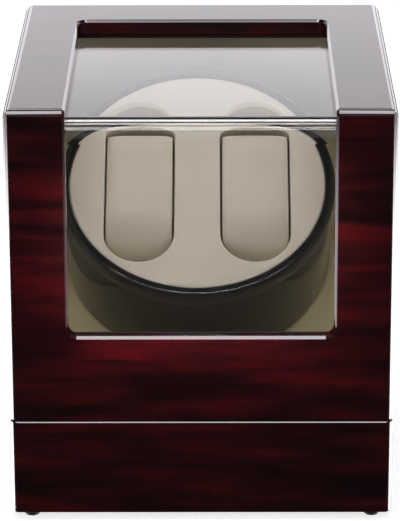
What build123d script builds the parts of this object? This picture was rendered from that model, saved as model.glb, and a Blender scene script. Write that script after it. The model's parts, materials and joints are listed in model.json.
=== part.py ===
from build123d import *
import math
import os

# A lacquered box that turns two watches on a tilted drum.
# Millimetres. The origin is on the floor under the middle of the box, the front faces -Y, and +Z is up.
# The upper shell is a lid on two hinges at the back. The drum, its panel and its motor stand on the base.

# ---------------------------------------------------------------- overall sizes
case_width = 170.0
case_depth = 180.0
case_height = 188.0        # wooden box without its feet
base_height = 44.0         # part of the box below the seam
foot_height = 4.0
wall = 9.0
top_board = 11.0
edge_chamfer = 2.2
seam_chamfer = 0.5
seam_gap = 0.3

half_w = case_width / 2
half_d = case_depth / 2
inner_w = half_w - wall
inner_d = half_d - wall
seam_z = foot_height + base_height
lid_z = seam_z + seam_gap
top_z = foot_height + case_height
ceiling_z = top_z - top_board

# ---------------------------------------------------------------- window
window_width = 116.6
sill_height = 84.3         # above the underside of the box
window_rear_margin = 31.0
window_corner = 4.5
window_chamfer = 1.2
pane_thickness = 2.6
pane_top_recess = 7.1
pane_front_recess = wall - 4.0
pane_bend = 10.0           # outer radius of the bend
pane_overlap = 4.0
pane_gap = 0.15
bead_width = 3.4

sill_z = foot_height + sill_height
window_half = window_width / 2
window_rear_y = half_d - window_rear_margin
pane_half = window_half + pane_overlap
pane_front_y = -half_d + pane_front_recess
pane_top_z = top_z - pane_top_recess
pane_rear_y = window_rear_y + pane_overlap
pane_low_z = sill_z - pane_overlap

# ---------------------------------------------------------------- lining and hinges
lining_thickness = 0.8
lining_edge = 1.5
opening_angle = 60.0
bevel_spare = 1.5          # degrees that each rear bevel is steeper than half the opening angle
hinge_inset = 2.3          # hinge axis in front of the rear face
hinge_spacing = 100.0
hinge_length = 24.0
knuckle_radius = 1.8
hinge_pin_radius = 0.8
leaf_thickness = 1.0
hinge_clearance = 0.35
hinge_screw_radius = 0.8
hinge_screw_head = 1.4
hinge_screw_length = 7.0
hinge_screw_share = 0.3125 # screws' distance from the hinge's middle, as a share of its length
screw_head_share = 0.6     # height of a hinge screw's head, as a share of the leaf
leaf_inset = 0.8           # leaf's front edge behind the inside of the wall
leaf_relief = 0.21         # room between a leaf and the other side's knuckles
knuckle_gap = 0.1

hinge_y = half_d - hinge_inset
hinge_z = seam_z + seam_gap / 2

# ---------------------------------------------------------------- drum, in its own frame
drum_tilt = 54.5           # degrees between the drum's axis and the floor
face_setback = 71.0        # centre of the face behind the inside of the front wall
face_height = 86.3         # centre of the face above the seam
drum_offset = -2.0         # centre of the face to the right of the middle of the box
rim_radius = 63.3
rim_height = 8.0
face_radius = 58.7
face_thickness = 3.2
face_recess = 0.8
face_edge = 0.9            # rounding of the covered edges
face_ledge = 1.4
face_gap = 0.1
drum_radius = 62.0
drum_wall = 2.2
drum_floor = 2.5
drum_length = 54.5
drum_edge = 2.0
rim_edge = 1.6
rim_spigot = 5.0           # length of the rim that goes into the cup
slot_width = 32.0
slot_length = 88.0
slot_offset = 26.5
slot_clearance = 0.5       # between a cushion's round corners and its slot
liner_wall = 1.2
liner_gap = 0.4            # the liner's inside stands back from the slot's edge
liner_flange = 0.8
liner_flange_thickness = 1.0
liner_depth = 45.0
hub_height = 9.0
hub_radius = 5.5
hub_flange_radius = 8.4
hub_flange_height = 2.0
hub_screw_radius = 1.2
hub_screw_length = 7.0
hub_screw_head = 5.0
hub_screw_head_height = 2.2
hub_screw_slot = 0.9
hub_screw_slot_depth = 1.0
collar_wall = 1.6
collar_seat = 0.4          # how far the collar reaches into the facing's hole

# ---------------------------------------------------------------- cushions
cushion_width = 30.0
cushion_length = 76.0
cushion_height = 44.0
cushion_proud = 1.2
cover_thickness = 2.6
band_thickness = 1.4
cushion_gap = 12.0         # open back of each C

# ---------------------------------------------------------------- panel and supports
panel_distance = 56.5      # front of the panel behind the drum's face
facing_thickness = 1.0
panel_thickness = 4.0
side_gap = 2.0
cheek_thickness = 8.0
rear_board_thickness = 6.0
floor_thickness = 4.0
floor_ledge = 5.0
panel_front_gap = 0.4      # panel's front edge behind the inside of the wall
support_rear_spare = 1.0
notch_side_margin = 3.0    # room in the rear board round the control plate
notch_top_margin = 5.0
panel_screw_shares = (0.27, 0.64, 0.90)  # places along the cheeks, from front to rear
panel_screw_radius = 1.3
panel_screw_length = 18.0
panel_screw_head = 2.6
panel_screw_head_height = 1.6

support_half = inner_w - side_gap
cheek_inner = support_half - cheek_thickness
floor_top = foot_height + floor_thickness
support_front_y = -inner_d + side_gap
support_rear_y = inner_d - side_gap - support_rear_spare

# ---------------------------------------------------------------- gear train, in the drum's frame
gear_module = 0.8
pinion_teeth = 12
wheel_teeth = 48
tooth_tip = 0.8            # height above the pitch circle, in modules
tooth_root = 1.1           # depth below the pitch circle, in modules
tooth_tip_half = 0.11      # half the tooth's width at its tip, in pitches
tooth_root_half = 0.29     # half the tooth's width at its root, in pitches
shaft_radius = 3.0
running_fit = 0.05
axle_radius = 1.5
motor_shaft_radius = 1.0
motor_radius = 12.0
motor_length = 20.0
motor_cap_length = 3.0
gearbox_wall = 2.0
gearbox_depth = 19.5
motor_edge = 1.0
motor_cap_inset = 0.6
motor_cap_edge = 0.8
motor_screw_offset = 8.0
motor_screw_radius = 0.9
motor_screw_bite = 2.5
motor_screw_head = 1.6
motor_screw_head_height = 0.9
motor_shaft_room = 1.5     # gap round the motor's shaft where it enters the gearbox
terminal_offset = 6.0
terminal_length = 3.0
terminal_width = 2.4
terminal_thickness = 0.8
gear_thickness = 4.0
gear_spacing = 3.0         # between the two stages
gear_end_gap = 1.5
pinion_overhang = 0.5      # how far a pinion sticks out past the wheel it drives
idler_neck = 1.0           # how far the idler's small gear goes on below the output gear
idler_collar_radius = 3.6
shaft_end_gap = 1.0
axle_seat = 0.6            # wall left behind each end of the idler's axle
gearbox_margin = 3.0
gearbox_motor_margin = 8.0
gearbox_corner = 4.0
gearbox_screw_radius = 1.5
gearbox_screw_head = 2.7
gearbox_screw_head_height = 1.8
gearbox_screw_cover = 1.0  # board left in front of the gearbox screws' tips
gearbox_boss_radius = 3.0
gearbox_boss_inset = 0.5
bush_radius = 5.0
bush_end = 0.8
bush_front_end = 0.6
bush_rear_length = 4.0
bush_housing_wall = 1.5
facing_hole_margin = 1.0
idler_angle_below = 30.0   # degrees below level, seen along the drum's axis

centre_distance = gear_module * (pinion_teeth + wheel_teeth) / 2
wheel_tip = gear_module * (wheel_teeth / 2 + tooth_tip)
idler_x = centre_distance * math.cos(math.radians(idler_angle_below))
idler_v = -centre_distance * math.sin(math.radians(idler_angle_below))
motor_x = 0.0
motor_v = -centre_distance

panel_top = -panel_distance
board_top = panel_top - facing_thickness
gearbox_top = board_top - panel_thickness
gearbox_bottom = gearbox_top - gearbox_depth
gearbox_split = gearbox_top - gearbox_depth / 2
output_level = gearbox_top - gearbox_wall - gear_end_gap
motor_level = output_level - gear_thickness - gear_spacing

# ---------------------------------------------------------------- rear controls and electronics
control_z = foot_height + 11.5
recess_width = 70.0
recess_height = 12.0
plate_thickness = 1.5
plate_margin = 4.0
plate_lap_low = 1.0        # how far the plate goes below and above the recess
plate_lap_high = 2.0
plate_screw_radius = 1.0
plate_screw_bite = 5.0
plate_screw_head = 1.8
plate_screw_head_height = 1.2
switch_width = 11.0
switch_height = 10.0
switch_depth = 9.0
switch_bush_radius = 2.5
switch_stem_depth = 6.0
switch_pin_radius = 0.5
switch_pin_spacing = 3.0
terminal_pin_length = 3.0
knob_x = -22.0
knob_radius = 5.0
knob_length = 7.0
knob_gap = 0.4             # between the knob and the plate
knob_edge = 0.6
knob_ribs = 18
knob_groove_radius = 0.35
pointer_width = 0.8
pointer_depth = 0.5
knob_stem_radius = 1.5
knob_stem_depth = 5.0
rocker_x = 22.0
rocker_width = 13.0
rocker_depth = 8.5
rocker_tilt = 8.0
rocker_flange = 1.0        # how far the housing's flange reaches past its body
rocker_flange_height = 1.2
rocker_body_depth = 10.0
rocker_wall = 0.8
rocker_end_wall = 0.9
rocker_well = 3.4          # depth of the well behind the pivot
rocker_pivot_inset = 0.6
rocker_face = 10.6
rocker_side_gap = 0.3
rocker_edge_height = 2.3
rocker_dip_height = 1.5
trunnion_radius = 0.8
trunnion_half = 3.8
trunnion_gap = 0.1
trunnion_height = 0.2
blade_spacing = 3.5
blade_length = 4.0
blade_thickness = 0.8
blade_width = 3.0
jack_radius = 4.0
jack_bore = 2.8
jack_bore_depth = 9.0
jack_pin_radius = 1.0
jack_pin_recess = 1.0
jack_depth = 11.0
jack_flange = 1.2
jack_blade_spacing = 2.0
jack_blade_length = 2.0
board_width = 56.0
board_length = 26.0
board_thickness = 1.6
board_gap = 14.0           # between the timer board and the control plate
spacer_height = 4.0
spacer_inset = 3.5
spacer_radius = 2.6
spacer_pin_radius = 1.2
spacer_clip_radius = 1.7
spacer_clip_height = 0.8
chip_width = 12.0
chip_length = 8.0
chip_height = 1.8
part_offset = 16.0         # capacitor and coil from the middle of the timer board
capacitor_radius = 3.0
capacitor_height = 6.5
coil_radius = 4.0
coil_height = 3.5
socket_size = 3.6
socket_height = 2.0
socket_inset = 4.0
power_socket_width = 8.0
power_socket_length = 3.5
power_socket_lap = 1.5     # how far the power socket reaches above its leads
lead_radius = 0.6
lead_bend = 3.0
lead_straight = 4.0        # straight part of a lead at a terminal
lead_drop = 5.0            # straight part of a lead above its socket

plate_y = inner_d - plate_thickness
pcb_rear_y = plate_y - board_gap
pcb_front_y = pcb_rear_y - board_length
pcb_z = floor_top + spacer_height
pcb_top = pcb_z + board_thickness

# ---------------------------------------------------------------- feet and floor screws
foot_top_radius = 4.5
foot_bottom_radius = 3.3
foot_inset_x = 8.6
foot_inset_y = 9.0
foot_screw_radius = 1.0
foot_screw_head = 1.9
foot_screw_head_height = 1.1
foot_screw_seat = 0.4      # depth of the screw's seat, as a share of the foot's height
foot_screw_cover = 0.6     # floor board left above the screw's tip
floor_screw_radius = 1.2
floor_screw_head = 2.1
floor_screw_head_height = 1.0
floor_screw_length = 13.0
floor_screw_share = 0.62   # end screws' places, as a share of the inside's half depth


# ---------------------------------------------------------------- helpers
def block(x0, x1, y0, y1, z0, z1):
    """A rectangular block between two corners."""
    centre = Pos((x0 + x1) / 2, (y0 + y1) / 2, (z0 + z1) / 2)
    return centre * Box(x1 - x0, y1 - y0, z1 - z0)


def rod(radius, z0, z1, x=0.0, y=0.0):
    """A round bar along Z from z0 to z1."""
    return Pos(x, y, (z0 + z1) / 2) * Cylinder(radius, z1 - z0)


def bar_x(radius, x0, x1, y, z):
    """A round bar along X from x0 to x1."""
    return Pos((x0 + x1) / 2, y, z) * Rot(0, 90, 0) * Cylinder(radius, x1 - x0)


def bar_y(radius, y0, y1, x, z):
    """A round bar along Y from y0 to y1."""
    return Pos(x, (y0 + y1) / 2, z) * Rot(90, 0, 0) * Cylinder(radius, y1 - y0)


def prism_x(points, x0, x1):
    """A solid with a straight-sided outline in the YZ plane, from x0 to x1."""
    face = Plane.YZ * make_face(Polyline(*points, close=True))
    return Pos(x0, 0, 0) * extrude(face, x1 - x0)


def tub(width, length, z0, z1):
    """A solid with straight sides and half-round ends, standing along Z, long in Y."""
    outline = SlotOverall(length, width, rotation=90)
    return Pos(0, 0, z0) * extrude(outline, z1 - z0)


def group(shapes):
    """Separate solids kept together as one node."""
    return Compound(children=list(shapes))


def near(value, target):
    """True where an edge lies at a given coordinate."""
    return abs(value - target) < 0.01


# The drum's frame: its origin is the centre of the drum's face, Z points out of the face, X is the box's X.
tilt = math.radians(drum_tilt)
face_y = -inner_d + face_setback
face_z = seam_z + face_height
drum_frame = Plane(
    origin=(drum_offset, face_y, face_z),
    x_dir=(1, 0, 0),
    z_dir=(0, -math.cos(tilt), math.sin(tilt)),
)
on_drum = Location(drum_frame)


def slope_z(y, depth):
    """Height, at a given y, of the plane that lies a given depth behind the drum's face."""
    plane_y = face_y + depth * math.cos(tilt)
    plane_z = face_z - depth * math.sin(tilt)
    return plane_z + (y - plane_y) / math.tan(tilt)


def up_slope(y, depth):
    """How far up the slope from the drum's axis a y lies, in the plane a given depth behind the face."""
    return (y - face_y - depth * math.cos(tilt)) / math.sin(tilt)


# ---------------------------------------------------------------- lid
def window_cut():
    """The L-shaped opening through the front and the top, with round corners."""
    cut = block(-window_half, window_half, -half_d - 1, window_rear_y, sill_z, top_z + 1)
    sill_edges = [e for e in cut.edges().filter_by(Axis.Y) if near(e.center().Z, sill_z)]
    rear_edges = [e for e in cut.edges().filter_by(Axis.Z) if near(e.center().Y, window_rear_y)]
    return fillet(sill_edges + rear_edges, window_corner)


def bent_block(width, grow):
    """A block whose front and top faces are the pane's outer faces, joined by its round bend."""
    body = block(
        -width / 2,
        width / 2,
        pane_front_y - grow,
        pane_rear_y + grow,
        pane_low_z - grow,
        pane_top_z + grow,
    )
    bend_edge = [
        e
        for e in body.edges().filter_by(Axis.X)
        if near(e.center().Y, pane_front_y - grow) and near(e.center().Z, pane_top_z + grow)
    ]
    return fillet(bend_edge, pane_bend + grow)


def rear_bevel(start_z, direction):
    """A wedge along the rear edge of the seam, which lets the lid fall back and then stops it."""
    reach = hinge_inset + 1.0
    rise = reach * math.tan(math.radians(opening_angle / 2 + bevel_spare))
    points = [(hinge_y, start_z), (hinge_y + reach, start_z), (hinge_y + reach, start_z + direction * rise)]
    return prism_x(points, -half_w - 1, half_w + 1)


def hinge_places():
    """The x of the middle of each hinge."""
    return (-hinge_spacing / 2, hinge_spacing / 2)


def knuckle_relief():
    """The round hollow in the wood around both hinges' knuckles."""
    reach = hinge_length / 2 + hinge_clearance
    radius = knuckle_radius + hinge_clearance
    return [bar_x(radius, x - reach, x + reach, hinge_y, hinge_z) for x in hinge_places()]


def leaf_block(x, start_z, direction):
    """The flat part of a hinge leaf at one hinge."""
    z0, z1 = sorted((start_z, start_z + direction * leaf_thickness))
    return block(x - hinge_length / 2, x + hinge_length / 2, inner_d + leaf_inset, hinge_y, z0, z1)


def hinge_screw_points():
    """Places of the screws in one set of leaves."""
    y = (inner_d + leaf_inset + hinge_y - knuckle_radius) / 2
    reach = hinge_length * hinge_screw_share
    return [(x + side * reach, y) for x in hinge_places() for side in (-1, 1)]


def hinge_screw(x, y, start_z, direction):
    """A flat-headed hinge screw whose head is flush with the leaf."""
    head_end = start_z + direction * leaf_thickness * screw_head_share
    tip = start_z + direction * hinge_screw_length
    head = rod(hinge_screw_head, *sorted((start_z, head_end)), x, y)
    shank = rod(hinge_screw_radius, *sorted((head_end, tip)), x, y)
    return head + shank


def hinge_screws(start_z, direction):
    """The four screws of one set of leaves."""
    return [hinge_screw(x, y, start_z, direction) for x, y in hinge_screw_points()]


def lid_shell():
    """The lacquered upper box, open below, with its window cut."""
    body = block(-half_w, half_w, -half_d, half_d, lid_z, top_z)
    upright = body.edges().filter_by(Axis.Z)
    upper = [e for e in body.edges() if near(e.center().Z, top_z)]
    body = chamfer(list(upright) + upper, edge_chamfer)
    lower = [e for e in body.edges() if near(e.center().Z, lid_z) and e.center().Y < half_d - 0.1]
    body = chamfer(lower, seam_chamfer)
    body -= window_cut()
    mouth = [
        e
        for e in body.edges()
        if abs(e.center().X) < window_half + 0.01
        and (e.center().Y < -half_d + edge_chamfer or e.center().Z > top_z - edge_chamfer)
        and e.center().Z > sill_z - 0.01
        and e.center().Y < window_rear_y + 0.01
        and on_window_wall(e)
    ]
    body = chamfer(mouth, window_chamfer)
    body -= block(-inner_w, inner_w, -inner_d, inner_d, lid_z - 1, ceiling_z)
    body -= bent_block(2 * (pane_half + pane_gap), pane_gap)
    body -= rear_bevel(lid_z, 1)
    for relief in knuckle_relief():
        body -= relief
    for x in hinge_places():
        body -= leaf_block(x, lid_z, 1)
    for screw in hinge_screws(lid_z, 1):
        body -= screw
    return body


def on_window_wall(edge):
    """True for an outer edge of the window opening, straight or at one of its round corners."""
    spot = edge.center()
    on_side = near(abs(spot.X), window_half)
    on_sill = near(spot.Z, sill_z) and spot.Y < -half_d + edge_chamfer
    on_rear = near(spot.Y, window_rear_y)
    at_corner = edge.geom_type == GeomType.CIRCLE
    return on_side or on_sill or on_rear or at_corner


def window_pane():
    """The clear sheet, bent once, that closes the front and the top."""
    outer = bent_block(2 * pane_half, 0)
    hollow_front = pane_front_y + pane_thickness
    hollow_top = pane_top_z - pane_thickness
    hollow = block(-half_w, half_w, hollow_front, half_d, 0, hollow_top)
    bend_edge = [
        e
        for e in hollow.edges().filter_by(Axis.X)
        if near(e.center().Y, hollow_front) and near(e.center().Z, hollow_top)
    ]
    return outer - fillet(bend_edge, pane_bend - pane_thickness)


def window_beads():
    """Flat strips that hold the pane in its rebate."""
    front = (pane_front_y + pane_thickness, -inner_d)
    level = (ceiling_z, pane_top_z - pane_thickness)
    edge = pane_half
    strips = [
        block(-edge, edge, *front, pane_low_z, pane_low_z + bead_width),
        block(-edge, edge, pane_rear_y - bead_width, pane_rear_y, *level),
    ]
    upright = (pane_low_z + bead_width, pane_top_z - pane_bend)
    along = (pane_front_y + pane_bend, pane_rear_y - bead_width)
    for side in (-1, 1):
        x0, x1 = sorted((side * edge, side * (edge - bead_width)))
        strips.append(block(x0, x1, *front, *upright))
        strips.append(block(x0, x1, *along, *level))
    return group(strips)


def lining_side(side):
    """The cream sheet on one side wall."""
    x0, x1 = sorted((side * inner_w, side * (inner_w - lining_thickness)))
    return block(x0, x1, -inner_d, inner_d, lid_z + lining_edge, ceiling_z)


def lining_end(y0, y1):
    """A cream sheet across the box between the two side sheets."""
    x1 = inner_w - lining_thickness
    return block(-x1, x1, y0, y1, lid_z + lining_edge, ceiling_z)


def lining_front():
    """The cream sheet on the front wall, cut away round the window."""
    sheet = lining_end(-inner_d, -inner_d + lining_thickness)
    half = pane_half + pane_gap
    return sheet - block(-half, half, -half_d, 0, pane_low_z - pane_gap, top_z)


def lining_top():
    """The cream sheet under the top board, cut away round the window."""
    x1 = inner_w - lining_thickness
    y1 = inner_d - lining_thickness
    sheet = block(-x1, x1, -y1, y1, ceiling_z - lining_thickness, ceiling_z)
    half = pane_half + pane_gap
    return sheet - block(-half, half, -half_d, pane_rear_y + pane_gap, 0, top_z)


def knuckle(x, x0, x1):
    """One knuckle of a hinge."""
    return bar_x(knuckle_radius, x + x0, x + x1, hinge_y, hinge_z)


def hinge_leaves(start_z, direction, spans, bore):
    """Both leaves of one side of the hinges, with the knuckles that lie in the given spans."""
    leaves = []
    for x in hinge_places():
        leaf = leaf_block(x, start_z, direction)
        relief_radius = knuckle_radius + leaf_relief
        clear = bar_x(relief_radius, x - hinge_length, x + hinge_length, hinge_y, hinge_z)
        tongue = leaf - clear
        for x0, x1 in spans:
            z0, z1 = sorted((start_z, start_z + direction * leaf_thickness))
            tongue += block(x + x0, x + x1, hinge_y - 2 * knuckle_radius, hinge_y, z0, z1) & leaf
            tongue += knuckle(x, x0, x1)
        tongue -= bar_x(bore, x - hinge_length, x + hinge_length, hinge_y, hinge_z)
        for screw in hinge_screws(start_z, direction):
            tongue -= screw
        leaves.append(tongue)
    return group(leaves)


def outer_spans():
    """The two outer knuckles, as distances along the hinge."""
    half = hinge_length / 6
    return ((-3 * half, -half - knuckle_gap), (half + knuckle_gap, 3 * half))


def middle_span():
    """The middle knuckle, as distances along the hinge."""
    half = hinge_length / 6
    return ((-half + knuckle_gap, half - knuckle_gap),)


def hinge_pins():
    """The steel pins of both hinges."""
    half = hinge_length / 2
    return group(bar_x(hinge_pin_radius, x - half, x + half, hinge_y, hinge_z) for x in hinge_places())


# ---------------------------------------------------------------- base
def foot_places():
    """Centres of the four feet."""
    x = half_w - foot_inset_x
    y = half_d - foot_inset_y
    return [(sx * x, sy * y) for sx in (-1, 1) for sy in (-1, 1)]


def foot_screw(x, y):
    """The screw up through a foot."""
    low = foot_height * foot_screw_seat
    high = low + foot_screw_head_height
    head = rod(foot_screw_head, low, high, x, y)
    return head + rod(foot_screw_radius, high, floor_top - foot_screw_cover, x, y)


def foot(x, y):
    """A tapered rubber foot with a stepped hole for its screw."""
    cone = Pos(x, y, foot_height / 2) * Cone(foot_bottom_radius, foot_top_radius, foot_height)
    seat_z = foot_height * foot_screw_seat + foot_screw_head_height
    cone -= rod(foot_screw_head, -1, seat_z, x, y)
    return cone - rod(foot_screw_radius, 0, foot_height + 1, x, y)


def floor_screw_places():
    """Centres of the screws along the two sides of the floor board."""
    x = inner_w + floor_ledge / 2
    return [(sx * x, sy * inner_d * floor_screw_share) for sx in (-1, 1) for sy in (-1, 0, 1)]


def floor_screw(x, y):
    """A flat-headed screw up through the floor board's edge into the frame."""
    neck = foot_height + floor_screw_head_height
    head = rod(floor_screw_head, foot_height, neck, x, y)
    return head + rod(floor_screw_radius, neck, foot_height + floor_screw_length, x, y)


def recess_cut():
    """The opening in the rear wall in front of the control plate."""
    return block(
        -recess_width / 2,
        recess_width / 2,
        inner_d - 1,
        half_d + 1,
        control_z - recess_height / 2,
        control_z + recess_height / 2,
    )


def plate_screw_places():
    """The x of the two screws that hold the control plate."""
    reach = recess_width / 2 + plate_margin / 2
    return (-reach, reach)


def plate_screw(x):
    """A small screw from inside the box through the control plate into the rear wall."""
    head = bar_y(plate_screw_head, plate_y - plate_screw_head_height, plate_y, x, control_z)
    return head + bar_y(plate_screw_radius, plate_y, inner_d + plate_screw_bite, x, control_z)


def base_frame():
    """The lacquered frame below the seam."""
    body = block(-half_w, half_w, -half_d, half_d, foot_height, seam_z)
    body = chamfer(body.edges().filter_by(Axis.Z), edge_chamfer)
    lower = [e for e in body.edges() if near(e.center().Z, foot_height)]
    upper = [e for e in body.edges() if near(e.center().Z, seam_z) and e.center().Y < half_d - 0.1]
    body = chamfer(lower + upper, seam_chamfer)
    body -= block(-inner_w, inner_w, -inner_d, inner_d, 0, top_z)
    ledge_w = inner_w + floor_ledge
    ledge_d = inner_d + floor_ledge
    body -= block(-ledge_w, ledge_w, -ledge_d, ledge_d, 0, floor_top)
    body -= recess_cut()
    body -= rear_bevel(seam_z, -1)
    for x in hinge_places():
        body -= leaf_block(x, seam_z, -1)
    cutters = knuckle_relief() + hinge_screws(seam_z, -1)
    cutters += [floor_screw(x, y) for x, y in floor_screw_places()]
    cutters += [plate_screw(x) for x in plate_screw_places()]
    for cutter in cutters:
        body -= cutter
    return body


def spacer_places():
    """Centres of the circuit board's four spacers."""
    x = board_width / 2 - spacer_inset
    return [(sx * x, y) for sx in (-1, 1) for y in (pcb_front_y + spacer_inset, pcb_rear_y - spacer_inset)]


def floor_board():
    """The board that closes the base from below."""
    ledge_w = inner_w + floor_ledge
    ledge_d = inner_d + floor_ledge
    board = block(-ledge_w, ledge_w, -ledge_d, ledge_d, foot_height, floor_top)
    for x, y in floor_screw_places():
        board -= floor_screw(x, y)
    for x, y in foot_places():
        board -= foot_screw(x, y)
    return board


def slab(depth, thickness):
    """A sloping board behind the drum, with its front face at the given depth."""
    back = depth + thickness
    front_y = -inner_d + panel_front_gap
    points = [
        (front_y, slope_z(front_y, depth)),
        (support_rear_y, slope_z(support_rear_y, depth)),
        (support_rear_y, slope_z(support_rear_y, back)),
        (front_y, slope_z(front_y, back)),
    ]
    return prism_x(points, -support_half, support_half)


def panel_facing():
    """The cream covering of the slanted panel."""
    hole = rod(bush_radius + facing_hole_margin, -case_height, 0)
    return slab(panel_distance, facing_thickness) - on_drum * hole


def gearbox_screw_places():
    """Corners of the gearbox, where its screws go, in the drum's frame."""
    x0, x1, v0, v1 = gearbox_outline()
    inset = gearbox_boss_radius + gearbox_boss_inset
    return [(x, v) for x in (x0 + inset, x1 - inset) for v in (v0 + inset, v1 - inset)]


def gearbox_screw(x, v):
    """A long screw through both gearbox halves into the panel board."""
    head = rod(gearbox_screw_head, gearbox_bottom - gearbox_screw_head_height, gearbox_bottom, x, v)
    return head + rod(gearbox_screw_radius, gearbox_bottom, board_top - gearbox_screw_cover, x, v)


def panel_screw_places():
    """Where the panel board is screwed to the cheeks, as x and distance up the slope."""
    x = (support_half + cheek_inner) / 2
    run = support_rear_y - support_front_y
    depth = panel_distance + facing_thickness
    levels = [up_slope(support_front_y + share * run, depth) for share in panel_screw_shares]
    return [(side * x, v) for side in (-1, 1) for v in levels]


def panel_screw(x, v):
    """A flat-headed screw through the panel board into a cheek."""
    neck = board_top - panel_screw_head_height
    head = rod(panel_screw_head, neck, board_top, x, v)
    return head + rod(panel_screw_radius, board_top - panel_screw_length, neck, x, v)


def panel_screws():
    """All the screws of the panel board, in the box's frame."""
    return [on_drum * panel_screw(x, v) for x, v in panel_screw_places()]


def panel_board():
    """The sloping board that carries the gearbox and the drum."""
    board = slab(panel_distance + facing_thickness, panel_thickness)
    board -= on_drum * rod(bush_radius, gearbox_top - 1, board_top + 1)
    for x, v in gearbox_screw_places():
        board -= on_drum * gearbox_screw(x, v)
    for screw in panel_screws():
        board -= screw
    return board


def cheek(side):
    """A side support under the panel board."""
    depth = panel_distance + facing_thickness + panel_thickness
    points = [
        (support_front_y, floor_top),
        (support_rear_y, floor_top),
        (support_rear_y, slope_z(support_rear_y, depth)),
        (support_front_y, slope_z(support_front_y, depth)),
    ]
    x0, x1 = sorted((side * support_half, side * cheek_inner))
    body = prism_x(points, x0, x1)
    for screw in panel_screws():
        body -= screw
    return body


def rear_board():
    """The upright board behind the gearbox, notched over the controls."""
    depth = panel_distance + facing_thickness + panel_thickness
    front_y = support_rear_y - rear_board_thickness
    points = [
        (front_y, floor_top),
        (support_rear_y, floor_top),
        (support_rear_y, slope_z(support_rear_y, depth)),
        (front_y, slope_z(front_y, depth)),
    ]
    body = prism_x(points, -cheek_inner, cheek_inner)
    notch = recess_width / 2 + plate_margin + notch_side_margin
    notch_top = control_z + recess_height / 2 + notch_top_margin
    return body - block(-notch, notch, 0, half_d, 0, notch_top)


# ---------------------------------------------------------------- gears
def gear(teeth, z0, z1, bore, phase=0.0):
    """A spur gear with straight-flanked teeth. The phase is in tooth pitches."""
    pitch_radius = gear_module * teeth / 2
    step = 2 * math.pi / teeth
    root = pitch_radius - tooth_root * gear_module
    tip = pitch_radius + tooth_tip * gear_module
    profile = (
        (root, -tooth_root_half),
        (tip, -tooth_tip_half),
        (tip, tooth_tip_half),
        (root, tooth_root_half),
    )
    points = []
    for tooth in range(teeth):
        for radius, offset in profile:
            angle = (tooth + phase + offset) * step
            points.append((radius * math.cos(angle), radius * math.sin(angle)))
    blank = extrude(make_face(Polyline(*points, close=True)), z1 - z0)
    return Pos(0, 0, z0) * blank - rod(bore, z0 - 1, z1 + 1)


def toward(angle, teeth, gap):
    """The phase that puts a tooth, or a gap, at the given angle in degrees."""
    pitches = math.radians(angle) * teeth / (2 * math.pi)
    return pitches - math.floor(pitches) + (0.5 if gap else 0.0)


idler_angle = math.degrees(math.atan2(idler_v, idler_x))
motor_angle = math.degrees(math.atan2(motor_v - idler_v, motor_x - idler_x))


def output_gear():
    """The large gear on the drum's shaft."""
    phase = toward(idler_angle, wheel_teeth, False)
    return on_drum * gear(wheel_teeth, output_level - gear_thickness, output_level, shaft_radius, phase)


def compound_gear():
    """The idler: a small gear that drives the output, and a large gear that the motor drives."""
    bore = axle_radius + running_fit
    small_phase = toward(idler_angle + 180, pinion_teeth, True)
    small_low = output_level - gear_thickness - idler_neck
    small = gear(pinion_teeth, small_low, output_level + pinion_overhang, bore, small_phase)
    large_phase = toward(motor_angle, wheel_teeth, False)
    large = gear(wheel_teeth, motor_level - gear_thickness, motor_level, bore, large_phase)
    collar = rod(idler_collar_radius, motor_level, small_low) - rod(bore, motor_level - 1, 0)
    return on_drum * Pos(idler_x, idler_v, 0) * (small + large + collar)


def motor_pinion():
    """The small gear on the motor's shaft."""
    phase = toward(motor_angle + 180, pinion_teeth, True)
    low = motor_level - gear_thickness - pinion_overhang
    body = gear(pinion_teeth, low, motor_level + pinion_overhang, motor_shaft_radius, phase)
    return on_drum * Pos(motor_x, motor_v, 0) * body


def motor_shaft():
    """The steel shaft that turns in the motor."""
    low = gearbox_bottom - motor_length + shaft_end_gap
    return on_drum * rod(motor_shaft_radius, low, motor_level + shaft_end_gap, motor_x, motor_v)


def output_shaft():
    """The steel shaft from the gearbox to the drum's hub."""
    body = rod(shaft_radius, gearbox_bottom + shaft_end_gap, hub_top)
    return on_drum * (body - rod(hub_screw_radius, hub_top - hub_screw_length - 1, hub_top + 1))


# ---------------------------------------------------------------- gearbox and motor
def gearbox_outline():
    """The outside of the gearbox: x0, x1, v0, v1 in the drum's frame."""
    reach = wheel_tip + gearbox_margin
    return (-reach, idler_x + reach, motor_v - gearbox_margin - gearbox_motor_margin, reach)


def gearbox_block(inset, z0, z1):
    """A block with the gearbox's outline, smaller by an inset, with round corners."""
    x0, x1, v0, v1 = gearbox_outline()
    body = block(x0 + inset, x1 - inset, v0 + inset, v1 - inset, z0, z1)
    return fillet(body.edges().filter_by(Axis.Z), gearbox_corner - inset)


def gearbox_half(z0, z1, hollow_z0, hollow_z1):
    """A tray-shaped half of the gearbox, with screw bosses in its corners."""
    body = gearbox_block(0, z0, z1)
    bosses = [rod(gearbox_boss_radius, z0, z1, x, v) for x, v in gearbox_screw_places()]
    hollow = gearbox_block(gearbox_wall, hollow_z0, hollow_z1)
    for boss in bosses:
        hollow -= boss
    body -= hollow
    for x, v in gearbox_screw_places():
        body -= gearbox_screw(x, v)
    return body


def gearbox_front():
    """The half of the gearbox against the panel board."""
    wall_z = gearbox_top - gearbox_wall
    body = gearbox_half(gearbox_split, gearbox_top, gearbox_split - 1, wall_z)
    body -= rod(bush_radius, wall_z - 1, gearbox_top + 1)
    body -= rod(axle_radius, wall_z - 1, gearbox_top - axle_seat, idler_x, idler_v)
    return on_drum * body


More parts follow.
